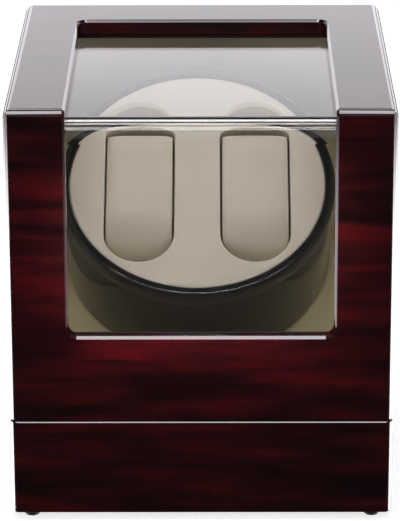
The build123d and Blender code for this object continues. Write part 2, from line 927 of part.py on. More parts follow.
def gearbox_rear():
    """The half of the gearbox that carries the motor."""
    wall_z = gearbox_bottom + gearbox_wall
    body = gearbox_half(gearbox_bottom, gearbox_split, wall_z, gearbox_split + 1)
    housing_top = gearbox_bottom + bush_rear_length
    body += rod(bush_radius + bush_housing_wall, gearbox_bottom, housing_top)
    body -= rod(bush_radius, gearbox_bottom + bush_end, housing_top + 1)
    body -= rod(axle_radius, gearbox_bottom + axle_seat, wall_z + 1, idler_x, idler_v)
    shaft_hole = motor_shaft_radius + motor_shaft_room
    body -= rod(shaft_hole, gearbox_bottom - 1, wall_z + 1, motor_x, motor_v)
    for x, v in motor_screw_places():
        body -= motor_screw(x, v)
    return on_drum * body


def motor_screw_places():
    """Centres of the two screws that hold the motor."""
    return [(motor_x + side * motor_screw_offset, motor_v) for side in (-1, 1)]


def motor_screw(x, v):
    """A short screw from inside the gearbox into the motor's face."""
    wall_z = gearbox_bottom + gearbox_wall
    neck = wall_z - motor_screw_head_height
    head = rod(motor_screw_head, neck, wall_z, x, v)
    return head + rod(motor_screw_radius, gearbox_bottom - motor_screw_bite, neck, x, v)


def shaft_bushes():
    """The two bronze bushes that the output shaft runs in."""
    bore = shaft_radius + running_fit
    front = rod(bush_radius, gearbox_top - gearbox_wall - bush_end, board_top - bush_front_end)
    rear = rod(bush_radius, gearbox_bottom + bush_end, gearbox_bottom + bush_rear_length)
    hole = rod(bore, gearbox_bottom - 1, 0)
    return group([on_drum * (front - hole), on_drum * (rear - hole)])


def idler_axle():
    """The fixed pin that the compound gear turns on."""
    low = gearbox_bottom + axle_seat
    return on_drum * rod(axle_radius, low, gearbox_top - axle_seat, idler_x, idler_v)


def motor_can():
    """The motor's steel can."""
    low = gearbox_bottom - motor_length
    body = rod(motor_radius, low, gearbox_bottom)
    body = fillet(body.edges().group_by(Axis.Z)[-1], motor_edge)
    body -= rod(motor_shaft_radius + running_fit, low - 1, gearbox_bottom + 1)
    body = Pos(motor_x, motor_v, 0) * body
    for x, v in motor_screw_places():
        body -= motor_screw(x, v)
    return on_drum * body


def terminal_places():
    """Centres of the motor's two terminals, in the drum's frame."""
    return [(motor_x + side * terminal_offset, motor_v) for side in (-1, 1)]


def motor_end_cap():
    """The moulded cap at the back of the motor, with its two terminals."""
    high = gearbox_bottom - motor_length
    low = high - motor_cap_length
    body = rod(motor_radius - motor_cap_inset, low, high, motor_x, motor_v)
    body = fillet(body.edges().group_by(Axis.Z)[0], motor_cap_edge)
    half_x = terminal_thickness / 2
    half_v = terminal_width / 2
    for x, v in terminal_places():
        body += block(x - half_x, x + half_x, v - half_v, v + half_v, low - terminal_length, low)
    return on_drum * body


# ---------------------------------------------------------------- drum
hub_low = -drum_length + drum_floor
hub_top = hub_low + hub_height
collar_low = board_top - collar_seat


def drum_shell():
    """The black cup behind the rim."""
    body = rod(drum_radius, -drum_length, -rim_height)
    body = fillet(body.edges().group_by(Axis.Z)[0], drum_edge)
    body -= rod(drum_radius - drum_wall, hub_low, 0)
    return on_drum * (body - rod(shaft_radius, -drum_length - 1, 0))


def drum_rim():
    """The ring round the face, with a ledge under the face and a spigot into the cup."""
    body = rod(rim_radius, -rim_height, 0)
    body = fillet(body.edges().group_by(Axis.Z)[-1], rim_edge)
    spigot_radius = drum_radius - drum_wall
    body += rod(spigot_radius, -rim_height - rim_spigot, -rim_height)
    face_low = -face_recess - face_thickness
    body -= rod(face_radius + face_gap, face_low, 1)
    return on_drum * (body - rod(face_radius - face_ledge, -drum_length, 1))


def face_plate():
    """The cream disc with two slots."""
    high = -face_recess
    plate = rod(face_radius, high - face_thickness, high)
    for side in (-1, 1):
        plate -= Pos(side * slot_offset, 0, 0) * tub(slot_width, slot_length, -20, 5)
    plate = fillet(plate.edges().group_by(Axis.Z)[-1], face_edge)
    return on_drum * plate


def slot_liner(side):
    """A deep tub behind one slot, with a thin flange under the face plate."""
    high = -face_recess - face_thickness
    grow = 2 * liner_gap
    shell = grow + 2 * liner_wall
    flange = shell + 2 * liner_flange
    body = tub(slot_width + shell, slot_length + shell, -liner_depth, high)
    body += tub(slot_width + flange, slot_length + flange, high - liner_flange_thickness, high)
    body -= tub(slot_width + grow, slot_length + grow, -liner_depth + liner_wall, 5)
    return on_drum * Pos(side * slot_offset, 0, 0) * body


def hub():
    """The brass hub that joins the drum to its shaft."""
    neck = hub_low + hub_flange_height
    body = rod(hub_flange_radius, hub_low, neck) + rod(hub_radius, neck, hub_top)
    return on_drum * (body - rod(shaft_radius, hub_low - 1, hub_top + 1))


def hub_screw():
    """The screw in the end of the shaft."""
    high = hub_top + hub_screw_head_height
    head = rod(hub_screw_head, hub_top, high)
    head -= Pos(0, 0, high) * Box(hub_screw_head * 1.2, hub_screw_slot, 2 * hub_screw_slot_depth)
    return on_drum * (head + rod(hub_screw_radius, hub_top - hub_screw_length, hub_top))


def shaft_collar():
    """The spacer that keeps the drum clear of the panel."""
    body = rod(shaft_radius + collar_wall, collar_low, -drum_length)
    return on_drum * (body - rod(shaft_radius, collar_low - 1, 0))


# ---------------------------------------------------------------- cushions
def cushion_ring(outset, thickness, side):
    """A C-shaped band, open at the back, that lies in a slot with its round front out."""
    length = cushion_length - 2 * outset
    height = cushion_height - 2 * outset
    outer = SlotOverall(length, height)
    inner = SlotOverall(length - 2 * thickness, height - 2 * thickness)
    across = Plane(origin=(0, 0, 0), x_dir=(0, 1, 0), z_dir=(1, 0, 0))
    ring = extrude(across * (outer - inner), cushion_width / 2, both=True)
    passage_width = slot_width - 2 * slot_clearance
    ring &= tub(passage_width, slot_length - 2 * slot_clearance, -cushion_height, cushion_height)
    gap = block(-half_w, half_w, -cushion_gap / 2, cushion_gap / 2, -cushion_height, 0)
    centre_depth = cushion_proud - cushion_height / 2
    return on_drum * Pos(side * slot_offset, 0, centre_depth) * (ring - gap)


# ---------------------------------------------------------------- rear controls
def control_plate():
    """The black plate behind the opening in the rear wall."""
    reach = recess_width / 2 + plate_margin
    z0 = control_z - recess_height / 2 - plate_lap_low
    z1 = control_z + recess_height / 2 + plate_lap_high
    plate = block(-reach, reach, plate_y, inner_d, z0, z1)
    plate -= bar_y(switch_bush_radius, 0, half_d, knob_x, control_z)
    plate -= bar_y(jack_radius, 0, half_d, 0, control_z)
    plate -= rocker_block(rocker_width, rocker_depth, 0, half_d)
    for x in plate_screw_places():
        plate -= plate_screw(x)
    return plate


def rocker_block(width, height, y0, y1):
    """A block centred on the rocker switch."""
    centre = Pos(rocker_x, (y0 + y1) / 2, control_z)
    return centre * Box(width, y1 - y0, height)


def mode_switch():
    """The rotary switch body, with the bush that its stem turns in."""
    rear = plate_y - switch_depth
    centre = Pos(knob_x, plate_y - switch_depth / 2, control_z)
    body = centre * Box(switch_width, switch_depth, switch_height)
    body += bar_y(switch_bush_radius, plate_y, inner_d, knob_x, control_z)
    for step in (-1, 0, 1):
        x = knob_x + step * switch_pin_spacing
        body += bar_y(switch_pin_radius, rear - terminal_pin_length, rear, x, control_z)
    bore = knob_stem_radius + running_fit
    return body - bar_y(bore, plate_y - switch_stem_depth, half_d, knob_x, control_z)


def mode_knob():
    """The ribbed knob, moulded with its stem, with a pointer groove on its end."""
    y0 = inner_d + knob_gap
    y1 = y0 + knob_length
    body = bar_y(knob_radius, y0, y1, knob_x, control_z)
    body = chamfer(body.edges().group_by(Axis.Y)[-1], knob_edge)
    for index in range(knob_ribs):
        angle = 2 * math.pi * index / knob_ribs
        x = knob_x + knob_radius * math.cos(angle)
        z = control_z + knob_radius * math.sin(angle)
        body -= bar_y(knob_groove_radius, y0 - 1, y1 + 1, x, z)
    half = pointer_width / 2
    pointer_top = control_z + knob_radius + 1
    pointer_low = control_z + pointer_width
    body -= block(knob_x - half, knob_x + half, y1 - pointer_depth, y1 + 1, pointer_low, pointer_top)
    return body + bar_y(knob_stem_radius, plate_y - knob_stem_depth, y0, knob_x, control_z)


rocker_pivot_y = inner_d - rocker_pivot_inset


def rocker_housing():
    """The frame and body of the power switch."""
    rear = plate_y - rocker_body_depth
    body = rocker_block(rocker_width, rocker_depth, rear, inner_d)
    flange_width = rocker_width + 2 * rocker_flange
    flange_depth = rocker_depth + 2 * rocker_flange
    body += rocker_block(flange_width, flange_depth, inner_d, inner_d + rocker_flange_height)
    well_width = rocker_width - 2 * rocker_wall
    well_depth = rocker_depth - 2 * rocker_end_wall
    body -= rocker_block(well_width, well_depth, rocker_pivot_y - rocker_well, half_d)
    reach = trunnion_half + trunnion_gap
    seat = trunnion_radius + running_fit
    body -= rod(seat, control_z - reach, control_z + reach, rocker_x, rocker_pivot_y)
    for side in (-1, 1):
        blade = Pos(rocker_x + side * blade_spacing, rear - blade_length / 2, control_z)
        body += blade * Box(blade_thickness, blade_length, blade_width)
    return body


def rocker_button():
    """The rocking button, tipped to its off side, with its two trunnions."""
    half = rocker_face / 2
    outline = [
        (-half, 0.0),
        (half, 0.0),
        (half, rocker_edge_height),
        (0.0, rocker_dip_height),
        (-half, rocker_edge_height),
    ]
    key_half = rocker_depth / 2 - rocker_end_wall - rocker_side_gap
    key = extrude(make_face(Polyline(*outline, close=True)), key_half, both=True)
    key += rod(trunnion_radius, -trunnion_half, trunnion_half, 0, trunnion_height)
    pivot = Pos(rocker_x, rocker_pivot_y, control_z) * Rot(0, 0, -rocker_tilt)
    return pivot * Pos(0, -trunnion_height, 0) * key


def dc_jack():
    """The power inlet: a flanged barrel with a centre pin."""
    rear = plate_y - jack_depth
    mouth = inner_d + jack_flange
    bore_end = mouth - jack_bore_depth
    body = bar_y(jack_radius, rear, inner_d, 0, control_z)
    body += bar_y(jack_radius + jack_flange, inner_d, mouth, 0, control_z)
    body -= bar_y(jack_bore, bore_end, mouth + 1, 0, control_z)
    body += bar_y(jack_pin_radius, bore_end - 0.5, mouth - jack_pin_recess, 0, control_z)
    for side in (-1, 1):
        blade = Pos(side * jack_blade_spacing, rear - jack_blade_length / 2, control_z)
        body += blade * Box(blade_thickness, jack_blade_length, blade_width)
    return body


# ---------------------------------------------------------------- electronics
def pcb():
    """The timer board."""
    board = block(-board_width / 2, board_width / 2, pcb_front_y, pcb_rear_y, pcb_z, pcb_top)
    for x, y in spacer_places():
        board -= rod(spacer_pin_radius, pcb_z - 1, pcb_top + 1, x, y)
    return board


def pcb_spacers():
    """The plastic posts that hold the timer board off the floor and clip through it."""
    posts = []
    for x, y in spacer_places():
        post = rod(spacer_radius, floor_top, pcb_z, x, y)
        post += rod(spacer_pin_radius, pcb_z, pcb_top, x, y)
        post += rod(spacer_clip_radius, pcb_top, pcb_top + spacer_clip_height, x, y)
        posts.append(post)
    return group(posts)


def motor_socket_y():
    """The y of the pads where the motor's leads end."""
    return pcb_front_y + socket_inset


def power_socket_y():
    """The y of the socket face where the inlet's leads end."""
    return pcb_rear_y - power_socket_length


def pcb_components():
    """The chip, capacitor, coil and sockets on the timer board."""
    middle_y = (pcb_front_y + pcb_rear_y) / 2
    chip = Pos(0, middle_y, pcb_top + chip_height / 2) * Box(chip_width, chip_length, chip_height)
    capacitor = rod(capacitor_radius, pcb_top, pcb_top + capacitor_height, part_offset, middle_y)
    coil = rod(coil_radius, pcb_top, pcb_top + coil_height, -part_offset, middle_y)
    socket = Box(socket_size, socket_size, socket_height)
    socket_z = pcb_top + socket_height / 2
    sockets = [Pos(drum_offset + x, motor_socket_y(), socket_z) * socket for x, v in terminal_places()]
    power_socket = block(
        -power_socket_width / 2,
        power_socket_width / 2,
        power_socket_y() - power_socket_length,
        power_socket_y(),
        pcb_top,
        control_z + power_socket_lap,
    )
    return group([chip, capacitor, coil, power_socket] + sockets)


def lead(points, radii):
    """An insulated wire along straight runs joined by arcs."""
    path = FilletPolyline(*points, radius=radii)
    start = Plane(origin=path @ 0, z_dir=path % 0)
    return sweep(start * Circle(lead_radius), path=path)


def in_box(x, v, depth):
    """A point of the drum's frame, given in the box's frame."""
    spot = drum_frame.from_local_coords(Vector(x, v, depth))
    return (spot.X, spot.Y, spot.Z)


def motor_leads():
    """The two wires from the motor's terminals to the timer board."""
    wires = []
    tip = gearbox_bottom - motor_length - motor_cap_length - terminal_length
    socket_z = pcb_top + socket_height
    for x, v in terminal_places():
        points = [
            in_box(x, v, tip),
            in_box(x, v, tip - lead_straight),
            (drum_offset + x, motor_socket_y(), socket_z + lead_drop),
            (drum_offset + x, motor_socket_y(), socket_z),
        ]
        wires.append(lead(points, [lead_bend, lead_bend]))
    return wires


def power_leads():
    """The two short wires from the power inlet to the timer board."""
    end_y = plate_y - jack_depth - jack_blade_length
    places = (-jack_blade_spacing, jack_blade_spacing)
    return [bar_y(lead_radius, power_socket_y(), end_y, x, control_z) for x in places]


# ---------------------------------------------------------------- all the nodes
nodes = {
    "base_frame": base_frame(),
    "floor_board": floor_board(),
    "floor_screws": group(floor_screw(x, y) for x, y in floor_screw_places()),
    "rubber_feet": group(foot(x, y) for x, y in foot_places()),
    "foot_screws": group(foot_screw(x, y) for x, y in foot_places()),
    "hinge_leaves_lower": hinge_leaves(seam_z, -1, outer_spans(), hinge_pin_radius),
    "hinge_screws_lower": group(hinge_screws(seam_z, -1)),
    "hinge_pins": hinge_pins(),
    "panel_facing": panel_facing(),
    "panel_board": panel_board(),
    "panel_screws": group(panel_screws()),
    "cheek_left": cheek(-1),
    "cheek_right": cheek(1),
    "rear_board": rear_board(),
    "gearbox_front": gearbox_front(),
    "gearbox_rear": gearbox_rear(),
    "gearbox_screws": group(on_drum * gearbox_screw(x, v) for x, v in gearbox_screw_places()),
    "shaft_bushes": shaft_bushes(),
    "idler_axle": idler_axle(),
    "motor_can": motor_can(),
    "motor_end_cap": motor_end_cap(),
    "motor_screws": group(on_drum * motor_screw(x, v) for x, v in motor_screw_places()),
    "motor_shaft": motor_shaft(),
    "motor_pinion": motor_pinion(),
    "compound_gear": compound_gear(),
    "output_gear": output_gear(),
    "output_shaft": output_shaft(),
    "shaft_collar": shaft_collar(),
    "hub": hub(),
    "hub_screw": hub_screw(),
    "drum_shell": drum_shell(),
    "drum_rim": drum_rim(),
    "face_plate": face_plate(),
    "slot_liner_left": slot_liner(-1),
    "slot_liner_right": slot_liner(1),
    "cushion_cover_left": cushion_ring(0, cover_thickness, -1),
    "cushion_band_left": cushion_ring(cover_thickness, band_thickness, -1),
    "cushion_cover_right": cushion_ring(0, cover_thickness, 1),
    "cushion_band_right": cushion_ring(cover_thickness, band_thickness, 1),
    "control_plate": control_plate(),
    "plate_screws": group(plate_screw(x) for x in plate_screw_places()),
    "mode_switch": mode_switch(),
    "mode_knob": mode_knob(),
    "rocker_housing": rocker_housing(),
    "rocker_button": rocker_button(),
    "dc_jack": dc_jack(),
    "pcb": pcb(),
    "pcb_spacers": pcb_spacers(),
    "pcb_components": pcb_components(),
    "wire_leads": group(motor_leads() + power_leads()),
    "lid_shell": lid_shell(),
    "window_pane": window_pane(),
    "window_beads": window_beads(),
    "lining_left": lining_side(-1),
    "lining_right": lining_side(1),
    "lining_rear": lining_end(inner_d - lining_thickness, inner_d),
    "lining_front": lining_front(),
    "lining_top": lining_top(),
    "hinge_leaves_upper": hinge_leaves(lid_z, 1, middle_span(), hinge_pin_radius + running_fit),
    "hinge_screws_upper": group(hinge_screws(lid_z, 1)),
}

os.makedirs("parts", exist_ok=True)
for name, shape in nodes.items():
    export_step(shape, f"parts/{name}.step")
print(len(nodes), "nodes written")
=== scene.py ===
# %% [markdown]
# # A lacquered winder for two watches
# The box has a lacquered base, a lacquered lid with a bent clear window, and a tilted drum that turns two
# watch cushions. The solid parts come from the frame, already in place. This file gives each visible piece
# its real surface, and rebuilds the ones whose beauty is in their curves: the lacquered shells, the
# window, the drum, the covered face and the cushions.

# %% Load the frame
import json
import math

import bmesh
import bpy
from mathutils import Matrix, Vector

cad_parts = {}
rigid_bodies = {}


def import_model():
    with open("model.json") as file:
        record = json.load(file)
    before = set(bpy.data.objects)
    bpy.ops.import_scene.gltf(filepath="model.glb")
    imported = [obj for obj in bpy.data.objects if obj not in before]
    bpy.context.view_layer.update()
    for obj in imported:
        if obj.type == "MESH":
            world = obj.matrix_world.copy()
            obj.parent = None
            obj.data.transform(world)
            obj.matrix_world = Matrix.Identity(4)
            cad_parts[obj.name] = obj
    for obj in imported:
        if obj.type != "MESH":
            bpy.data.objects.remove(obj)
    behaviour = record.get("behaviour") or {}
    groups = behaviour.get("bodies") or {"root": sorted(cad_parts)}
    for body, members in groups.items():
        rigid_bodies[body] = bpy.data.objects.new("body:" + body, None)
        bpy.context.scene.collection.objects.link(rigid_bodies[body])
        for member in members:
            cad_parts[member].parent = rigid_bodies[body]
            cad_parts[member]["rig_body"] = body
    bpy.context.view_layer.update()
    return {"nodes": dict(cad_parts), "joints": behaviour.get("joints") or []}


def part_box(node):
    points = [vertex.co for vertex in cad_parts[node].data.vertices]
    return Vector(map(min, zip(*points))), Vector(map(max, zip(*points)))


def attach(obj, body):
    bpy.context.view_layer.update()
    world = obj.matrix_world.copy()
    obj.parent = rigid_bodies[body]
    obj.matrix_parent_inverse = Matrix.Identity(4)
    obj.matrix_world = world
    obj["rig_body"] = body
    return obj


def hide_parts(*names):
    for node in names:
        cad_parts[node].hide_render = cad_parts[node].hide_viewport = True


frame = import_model()
joints = {joint["name"]: joint for joint in frame["joints"]}

# %% [markdown]
# All lengths below are written in millimetres, because that is how a workshop talks about a box this size.
# One helper turns them into metres. The drum is tilted, so it gets its own frame: the origin is the middle
# of its face, Z points out of the face, and X is the box's X. Both come from the joint that the drum turns
# on.

# %% Lengths and the drum's frame
MM = 0.001

spin = joints["turntable_spin"]
drum_axis = Vector(spin["axis"]).normalized()
drum_centre = Vector(spin["pos_m"])
drum_side = Vector((1, 0, 0))
drum_up = drum_axis.cross(drum_side).normalized()
drum_frame = Matrix.Translation(drum_centre) @ Matrix((drum_side, drum_up, drum_axis)).transposed().to_4x4()
print("the drum's face is centred", round(drum_centre.z / MM), "mm above the floor")

# %% [markdown]
# ## Camera
# The camera stands a little over a metre in front of the box and looks down on it with a long lens, so the
# box keeps nearly parallel sides and shows its top.

# %% Camera
CAMERA_SPOT = Vector((0.0076, -1.3418, 0.5670))
CAMERA_YAW = math.radians(-0.365)
CAMERA_PITCH = math.radians(19.493)
CAMERA_ROLL = math.radians(-0.193)

look = Vector(
    (
        math.sin(CAMERA_YAW) * math.cos(CAMERA_PITCH),
        math.cos(CAMERA_YAW) * math.cos(CAMERA_PITCH),
        -math.sin(CAMERA_PITCH),
    )
)
level_right = look.cross(Vector((0, 0, 1))).normalized()
level_up = level_right.cross(look)
camera_right = level_right * math.cos(CAMERA_ROLL) + level_up * math.sin(CAMERA_ROLL)
camera_up = level_up * math.cos(CAMERA_ROLL) - level_right * math.sin(CAMERA_ROLL)

camera = bpy.data.objects.new("camera", bpy.data.cameras.new("camera"))
camera.data.sensor_width = 36
camera.data.lens = 210.9
camera.matrix_world = (
    Matrix.Translation(CAMERA_SPOT) @ Matrix((camera_right, camera_up, -look)).transposed().to_4x4()
)
bpy.context.scene.collection.objects.link(camera)
bpy.context.scene.camera = camera
bpy.context.scene.view_settings.view_transform = "Standard"
print("camera is", round((CAMERA_SPOT - drum_centre).length, 2), "m from the drum")

# %% [markdown]
# ## Small helpers for materials
# A material here is a Principled shader plus a few texture nodes. `finish` makes one and sets the plain
# values on the shader's own sockets. `texture_space` gives the object's own coordinates, stretched as
# asked, so that a pattern stays on its piece when the piece moves.


# %% Material helpers
def finish(name, **values):
    """A material with one Principled shader, whose plain values are given by socket name."""
    material = bpy.data.materials.new(name)
    material.use_nodes = True
    shader = material.node_tree.nodes["Principled BSDF"]
    for socket, value in values.items():
        shader.inputs[socket.replace("_", " ")].default_value = value
    return material


def add_node(material, kind, **values):
    """A node of the given kind. A value goes to the input, or else to the setting, of that name."""
    node = material.node_tree.nodes.new("ShaderNode" + kind)
    for key, value in values.items():
        socket = node.inputs.get(key.replace("_", " "))
        if socket is not None and not hasattr(node, key):
            socket.default_value = value
        else:
            setattr(node, key, value)
    return node


def wire(material, source, target):
    """A link between two sockets."""
    material.node_tree.links.new(source, target)


def texture_space(material, stretch=(1, 1, 1)):
    """Object coordinates in metres, scaled along each axis."""
    coordinates = add_node(material, "TexCoord")
    mapping = add_node(material, "Mapping")
    mapping.inputs["Scale"].default_value = stretch
    wire(material, coordinates.outputs["Object"], mapping.inputs["Vector"])
    return mapping.outputs["Vector"]


def noise(material, vector, scale, detail=3.0, roughness=0.5):
    """A noise pattern's value."""
    node = add_node(material, "TexNoise", Scale=scale, Detail=detail, Roughness=roughness)
    wire(material, vector, node.inputs["Vector"])
    return node.outputs["Fac"]


def ramp(material, value, stops):
    """Colours along a value from 0 to 1. Each stop is a place and a colour."""
    node = add_node(material, "ValToRGB")
    elements = node.color_ramp.elements
    while len(elements) < len(stops):
        elements.new(0.5)
    for element, (place, colour) in zip(elements, stops):
        element.position = place
        element.color = (*colour, 1)
    wire(material, value, node.inputs["Fac"])
    return node.outputs["Color"]


def mix_colour(material, factor, first, second, blend="MIX"):
    """Two colours mixed. The factor and the colours may be sockets or plain values."""
    node = add_node(material, "Mix", data_type="RGBA", blend_type=blend)
    for socket, value in zip((node.inputs[0], node.inputs[6], node.inputs[7]), (factor, first, second)):
        if hasattr(value, "links"):
            wire(material, value, socket)
        else:
            socket.default_value = value if socket == node.inputs[0] else (*value, 1)
    return node.outputs[2]


def bump(material, height, strength, depth):
    """A bump from a height pattern, linked to the shader's normal."""
    node = add_node(material, "Bump", Strength=strength, Distance=depth)
    wire(material, height, node.inputs["Height"])
    wire(material, node.outputs["Normal"], material.node_tree.nodes["Principled BSDF"].inputs["Normal"])
    return node


def base_colour(material, colour):
    """Links a colour to the shader."""
    wire(material, colour, material.node_tree.nodes["Principled BSDF"].inputs["Base Color"])


def speckled(name, dark, light, scale, grain, depth, **values):
    """A finish with soft colour variation and a fine grain, for mouldings, rubber and plain board."""
    material = finish(name, **values)
    space = texture_space(material)
    base_colour(material, ramp(material, noise(material, space, scale), [(0.35, dark), (0.65, light)]))
    bump(material, noise(material, space, grain, detail=2.0), 0.5, depth)
    return material


# %% [markdown]
# ## Piano lacquer over striped wood
# The shells are veneered in a nearly black wood with deep red streaks that run level round the box, and
# then buried in clear lacquer. The streaks are noise stretched along the grain: on the front and back the
# grain runs in X, on the sides in Y, and the top follows the front. A low, slow noise bends them so that
# they swell and thin out. The lacquer is the shader's coat: clear, thick and almost perfectly smooth.


# %% Striped wood under lacquer
def lacquered_wood():
    """Dark wood with level red streaks under a clear coat."""
    material = finish("piano_lacquer", Roughness=0.5, Coat_Weight=1.0, Coat_Roughness=0.015, Coat_IOR=1.65)
    shader = material.node_tree.nodes["Principled BSDF"]
    shader.inputs["Specular IOR Level"].default_value = 0.1
    position = add_node(material, "SeparateXYZ")
    wire(material, texture_space(material), position.inputs["Vector"])
    facing = add_node(material, "SeparateXYZ")
    wire(material, add_node(material, "NewGeometry").outputs["True Normal"], facing.inputs["Vector"])

    def faces(axis):
        """1 where the surface faces along an axis, and 0 elsewhere."""
        size = add_node(material, "Math", operation="ABSOLUTE")
        wire(material, facing.outputs[axis], size.inputs[0])
        test = add_node(material, "Math", operation="GREATER_THAN")
        test.inputs[1].default_value = 0.8
        wire(material, size.outputs[0], test.inputs[0])
        return test.outputs[0]

    def choose(switch, when_0, when_1):
        """One of two values."""
        node = add_node(material, "Mix", data_type="FLOAT")
        for socket, value in zip((node.inputs[0], node.inputs[2], node.inputs[3]), (switch, when_0, when_1)):
            wire(material, value, socket)
        return node.outputs[0]

    along = choose(faces("X"), position.outputs["X"], position.outputs["Y"])
    across = choose(faces("Z"), position.outputs["Z"], position.outputs["Y"])
    sheet = add_node(material, "CombineXYZ")
    wire(material, along, sheet.inputs["X"])
    wire(material, across, sheet.inputs["Y"])

    def streaks(along_scale, across_scale, detail, distortion):
        """Noise stretched along the grain."""
        mapping = add_node(material, "Mapping")
        mapping.inputs["Scale"].default_value = (along_scale, across_scale, 1)
        wire(material, sheet.outputs["Vector"], mapping.inputs["Vector"])
        node = add_node(material, "TexNoise", Scale=1.0, Detail=detail, Roughness=0.55, Distortion=distortion)
        wire(material, mapping.outputs["Vector"], node.inputs["Vector"])
        return node.outputs["Fac"]

    broad = ramp(
        material,
        streaks(14, 85, 3.0, 0.35),
        [
            (0.36, (0.0080, 0.0007, 0.0016)),
            (0.50, (0.0200, 0.0007, 0.0018)),
            (0.70, (0.0580, 0.0003, 0.0014)),
        ],
    )
    fine = ramp(material, streaks(18, 420, 3.0, 0.2), [(0.30, (0.72, 0.8, 0.8)), (0.65, (1, 1, 1))])
    base_colour(material, mix_colour(material, 0.6, broad, fine, "MULTIPLY"))
    return material


lacquer = lacquered_wood()
print("lacquer has", len(lacquer.node_tree.nodes), "nodes")


# %% [markdown]
# ## Cream leatherette
# The face, the cushions and the slanted panel are covered in smooth coated cloth with a fine pebble.
# Voronoi cells about half a millimetre wide make the pebble, and a slow noise warms and cools the cream a
# little, as real sheets do.


# %% Leatherette
def leatherette(name, cool, warm, roughness, pebble):
    """Cream coated cloth with a fine pebble."""
    material = finish(name, Roughness=roughness, Sheen_Weight=0.15, Sheen_Roughness=0.4)
    material.node_tree.nodes["Principled BSDF"].inputs["Specular IOR Level"].default_value = 0.12
    space = texture_space(material)
    tone = ramp(material, noise(material, space, 22.0, detail=4.0), [(0.3, cool), (0.7, warm)])
    base_colour(material, tone)
    cells = add_node(material, "TexVoronoi", Scale=pebble, feature="SMOOTH_F1")
    wire(material, space, cells.inputs["Vector"])
    bump(material, cells.outputs["Distance"], 0.25, 0.00012)
    return material


face_cream = leatherette("face_leatherette", (0.76, 0.69, 0.58), (0.80, 0.73, 0.62), 0.38, 1500.0)
cushion_cream = leatherette("cushion_leatherette", (0.74, 0.67, 0.56), (0.79, 0.72, 0.61), 0.42, 1300.0)
panel_cream = leatherette("panel_leatherette", (0.88, 0.77, 0.52), (0.92, 0.81, 0.56), 0.45, 1500.0)
lining_cream = leatherette("lining_paper", (0.76, 0.70, 0.58), (0.80, 0.75, 0.62), 0.60, 2200.0)
# The slot linings are the same cream cloth as the face. Their darker olive colour is painted shade for the
# deep pockets behind the slots.
liner_painted_shade = leatherette("slot_lining_painted_shade", (0.46, 0.40, 0.26), (0.52, 0.45, 0.31), 0.60, 1500.0)


# %% [markdown]
# ## Clear acrylic
# The window is a real sheet with two faces, so light bends as it goes in and comes out, which is what
# smears the picture along the bend. Lamps have to shine through it without waiting for the renderer to
# find every bent path, so it lets shadow rays pass.


# %% Clear acrylic
def clear_acrylic():
    """Glass for eyes and reflections, and nearly open to lamps."""
    material = finish(
        "clear_acrylic", Base_Color=(0.985, 0.985, 0.985, 1), Roughness=0.0, IOR=1.55, Transmission_Weight=1.0
    )
    tree = material.node_tree
    shader = tree.nodes["Principled BSDF"]
    see_through = add_node(material, "BsdfTransparent")
    see_through.inputs["Color"].default_value = (0.94, 0.94, 0.94, 1)
    path = add_node(material, "LightPath")
    join = add_node(material, "MixShader")
    wire(material, path.outputs["Is Shadow Ray"], join.inputs[0])
    wire(material, shader.outputs[0], join.inputs[1])
    wire(material, see_through.outputs[0], join.inputs[2])
    wire(material, join.outputs[0], tree.nodes["Material Output"].inputs["Surface"])
    return material


acrylic = clear_acrylic()


# %% [markdown]
# ## Plastics, metals, rubber and board
# The drum is gloss black moulding. The controls are the fine-textured black of cheap mouldings. The metals
# are brushed or turned, so their roughness follows a stretched noise.


# %% The other finishes
def metal(name, colour, roughness, stretch=(400, 400, 400)):
    """Worked metal whose fine marks change how rough it is."""
    material = finish(name, Metallic=1.0, Roughness=roughness, Base_Color=(*colour, 1))
    shader = material.node_tree.nodes["Principled BSDF"]
    marks = noise(material, texture_space(material, stretch), 3.0, detail=4.0)
    spread = add_node(material, "MapRange")
    spread.inputs["To Min"].default_value = roughness * 0.7
    spread.inputs["To Max"].default_value = roughness * 1.4
    wire(material, marks, spread.inputs["Value"])
    wire(material, spread.outputs[0], shader.inputs["Roughness"])
    bump(material, marks, 0.2, 0.00003)
    return material


def gloss_black():
    """Gloss black moulding with the faint waviness of a moulded wall."""
    material = finish("gloss_black", Roughness=0.10, Coat_Weight=0.4, Coat_Roughness=0.05)
    space = texture_space(material)
    tones = [(0.3, (0.010, 0.010, 0.011)), (0.7, (0.014, 0.013, 0.013))]
    base_colour(material, ramp(material, noise(material, space, 40.0), tones))
    bump(material, noise(material, space, 35.0, detail=1.0), 0.12, 0.0004)
    return material


drum_black = gloss_black()
moulded_black = speckled("moulded_black", (0.012,) * 3, (0.020,) * 3, 60.0, 2500.0, 0.00004, Roughness=0.45)
foot_rubber = speckled(
    "foot_rubber", (0.012, 0.013, 0.013), (0.024, 0.025, 0.025), 180.0, 1800.0, 0.0001, Roughness=0.7
)
black_board = speckled("black_board", (0.010,) * 3, (0.018,) * 3, 300.0, 1800.0, 0.0001, Roughness=0.8)
raw_board = speckled(
    "raw_board", (0.36, 0.25, 0.15), (0.46, 0.33, 0.20), 500.0, 1500.0, 0.0002, Roughness=0.9
)
nylon = speckled("nylon", (0.66, 0.65, 0.60), (0.72, 0.71, 0.66), 80.0, 2000.0, 0.00004, Roughness=0.4)
acetal = speckled("acetal", (0.80, 0.80, 0.77), (0.86, 0.86, 0.83), 80.0, 2000.0, 0.00003, Roughness=0.3)
circuit = speckled(
    "solder_mask", (0.01, 0.10, 0.035), (0.015, 0.14, 0.05), 250.0, 1500.0, 0.00004, Roughness=0.3
)
wire_cover = speckled(
    "wire_cover", (0.45, 0.02, 0.02), (0.55, 0.03, 0.03), 200.0, 1500.0, 0.00003, Roughness=0.4
)
band_plastic = speckled(
    "band_plastic", (0.70, 0.68, 0.62), (0.76, 0.74, 0.68), 90.0, 1500.0, 0.00003, Roughness=0.4
)
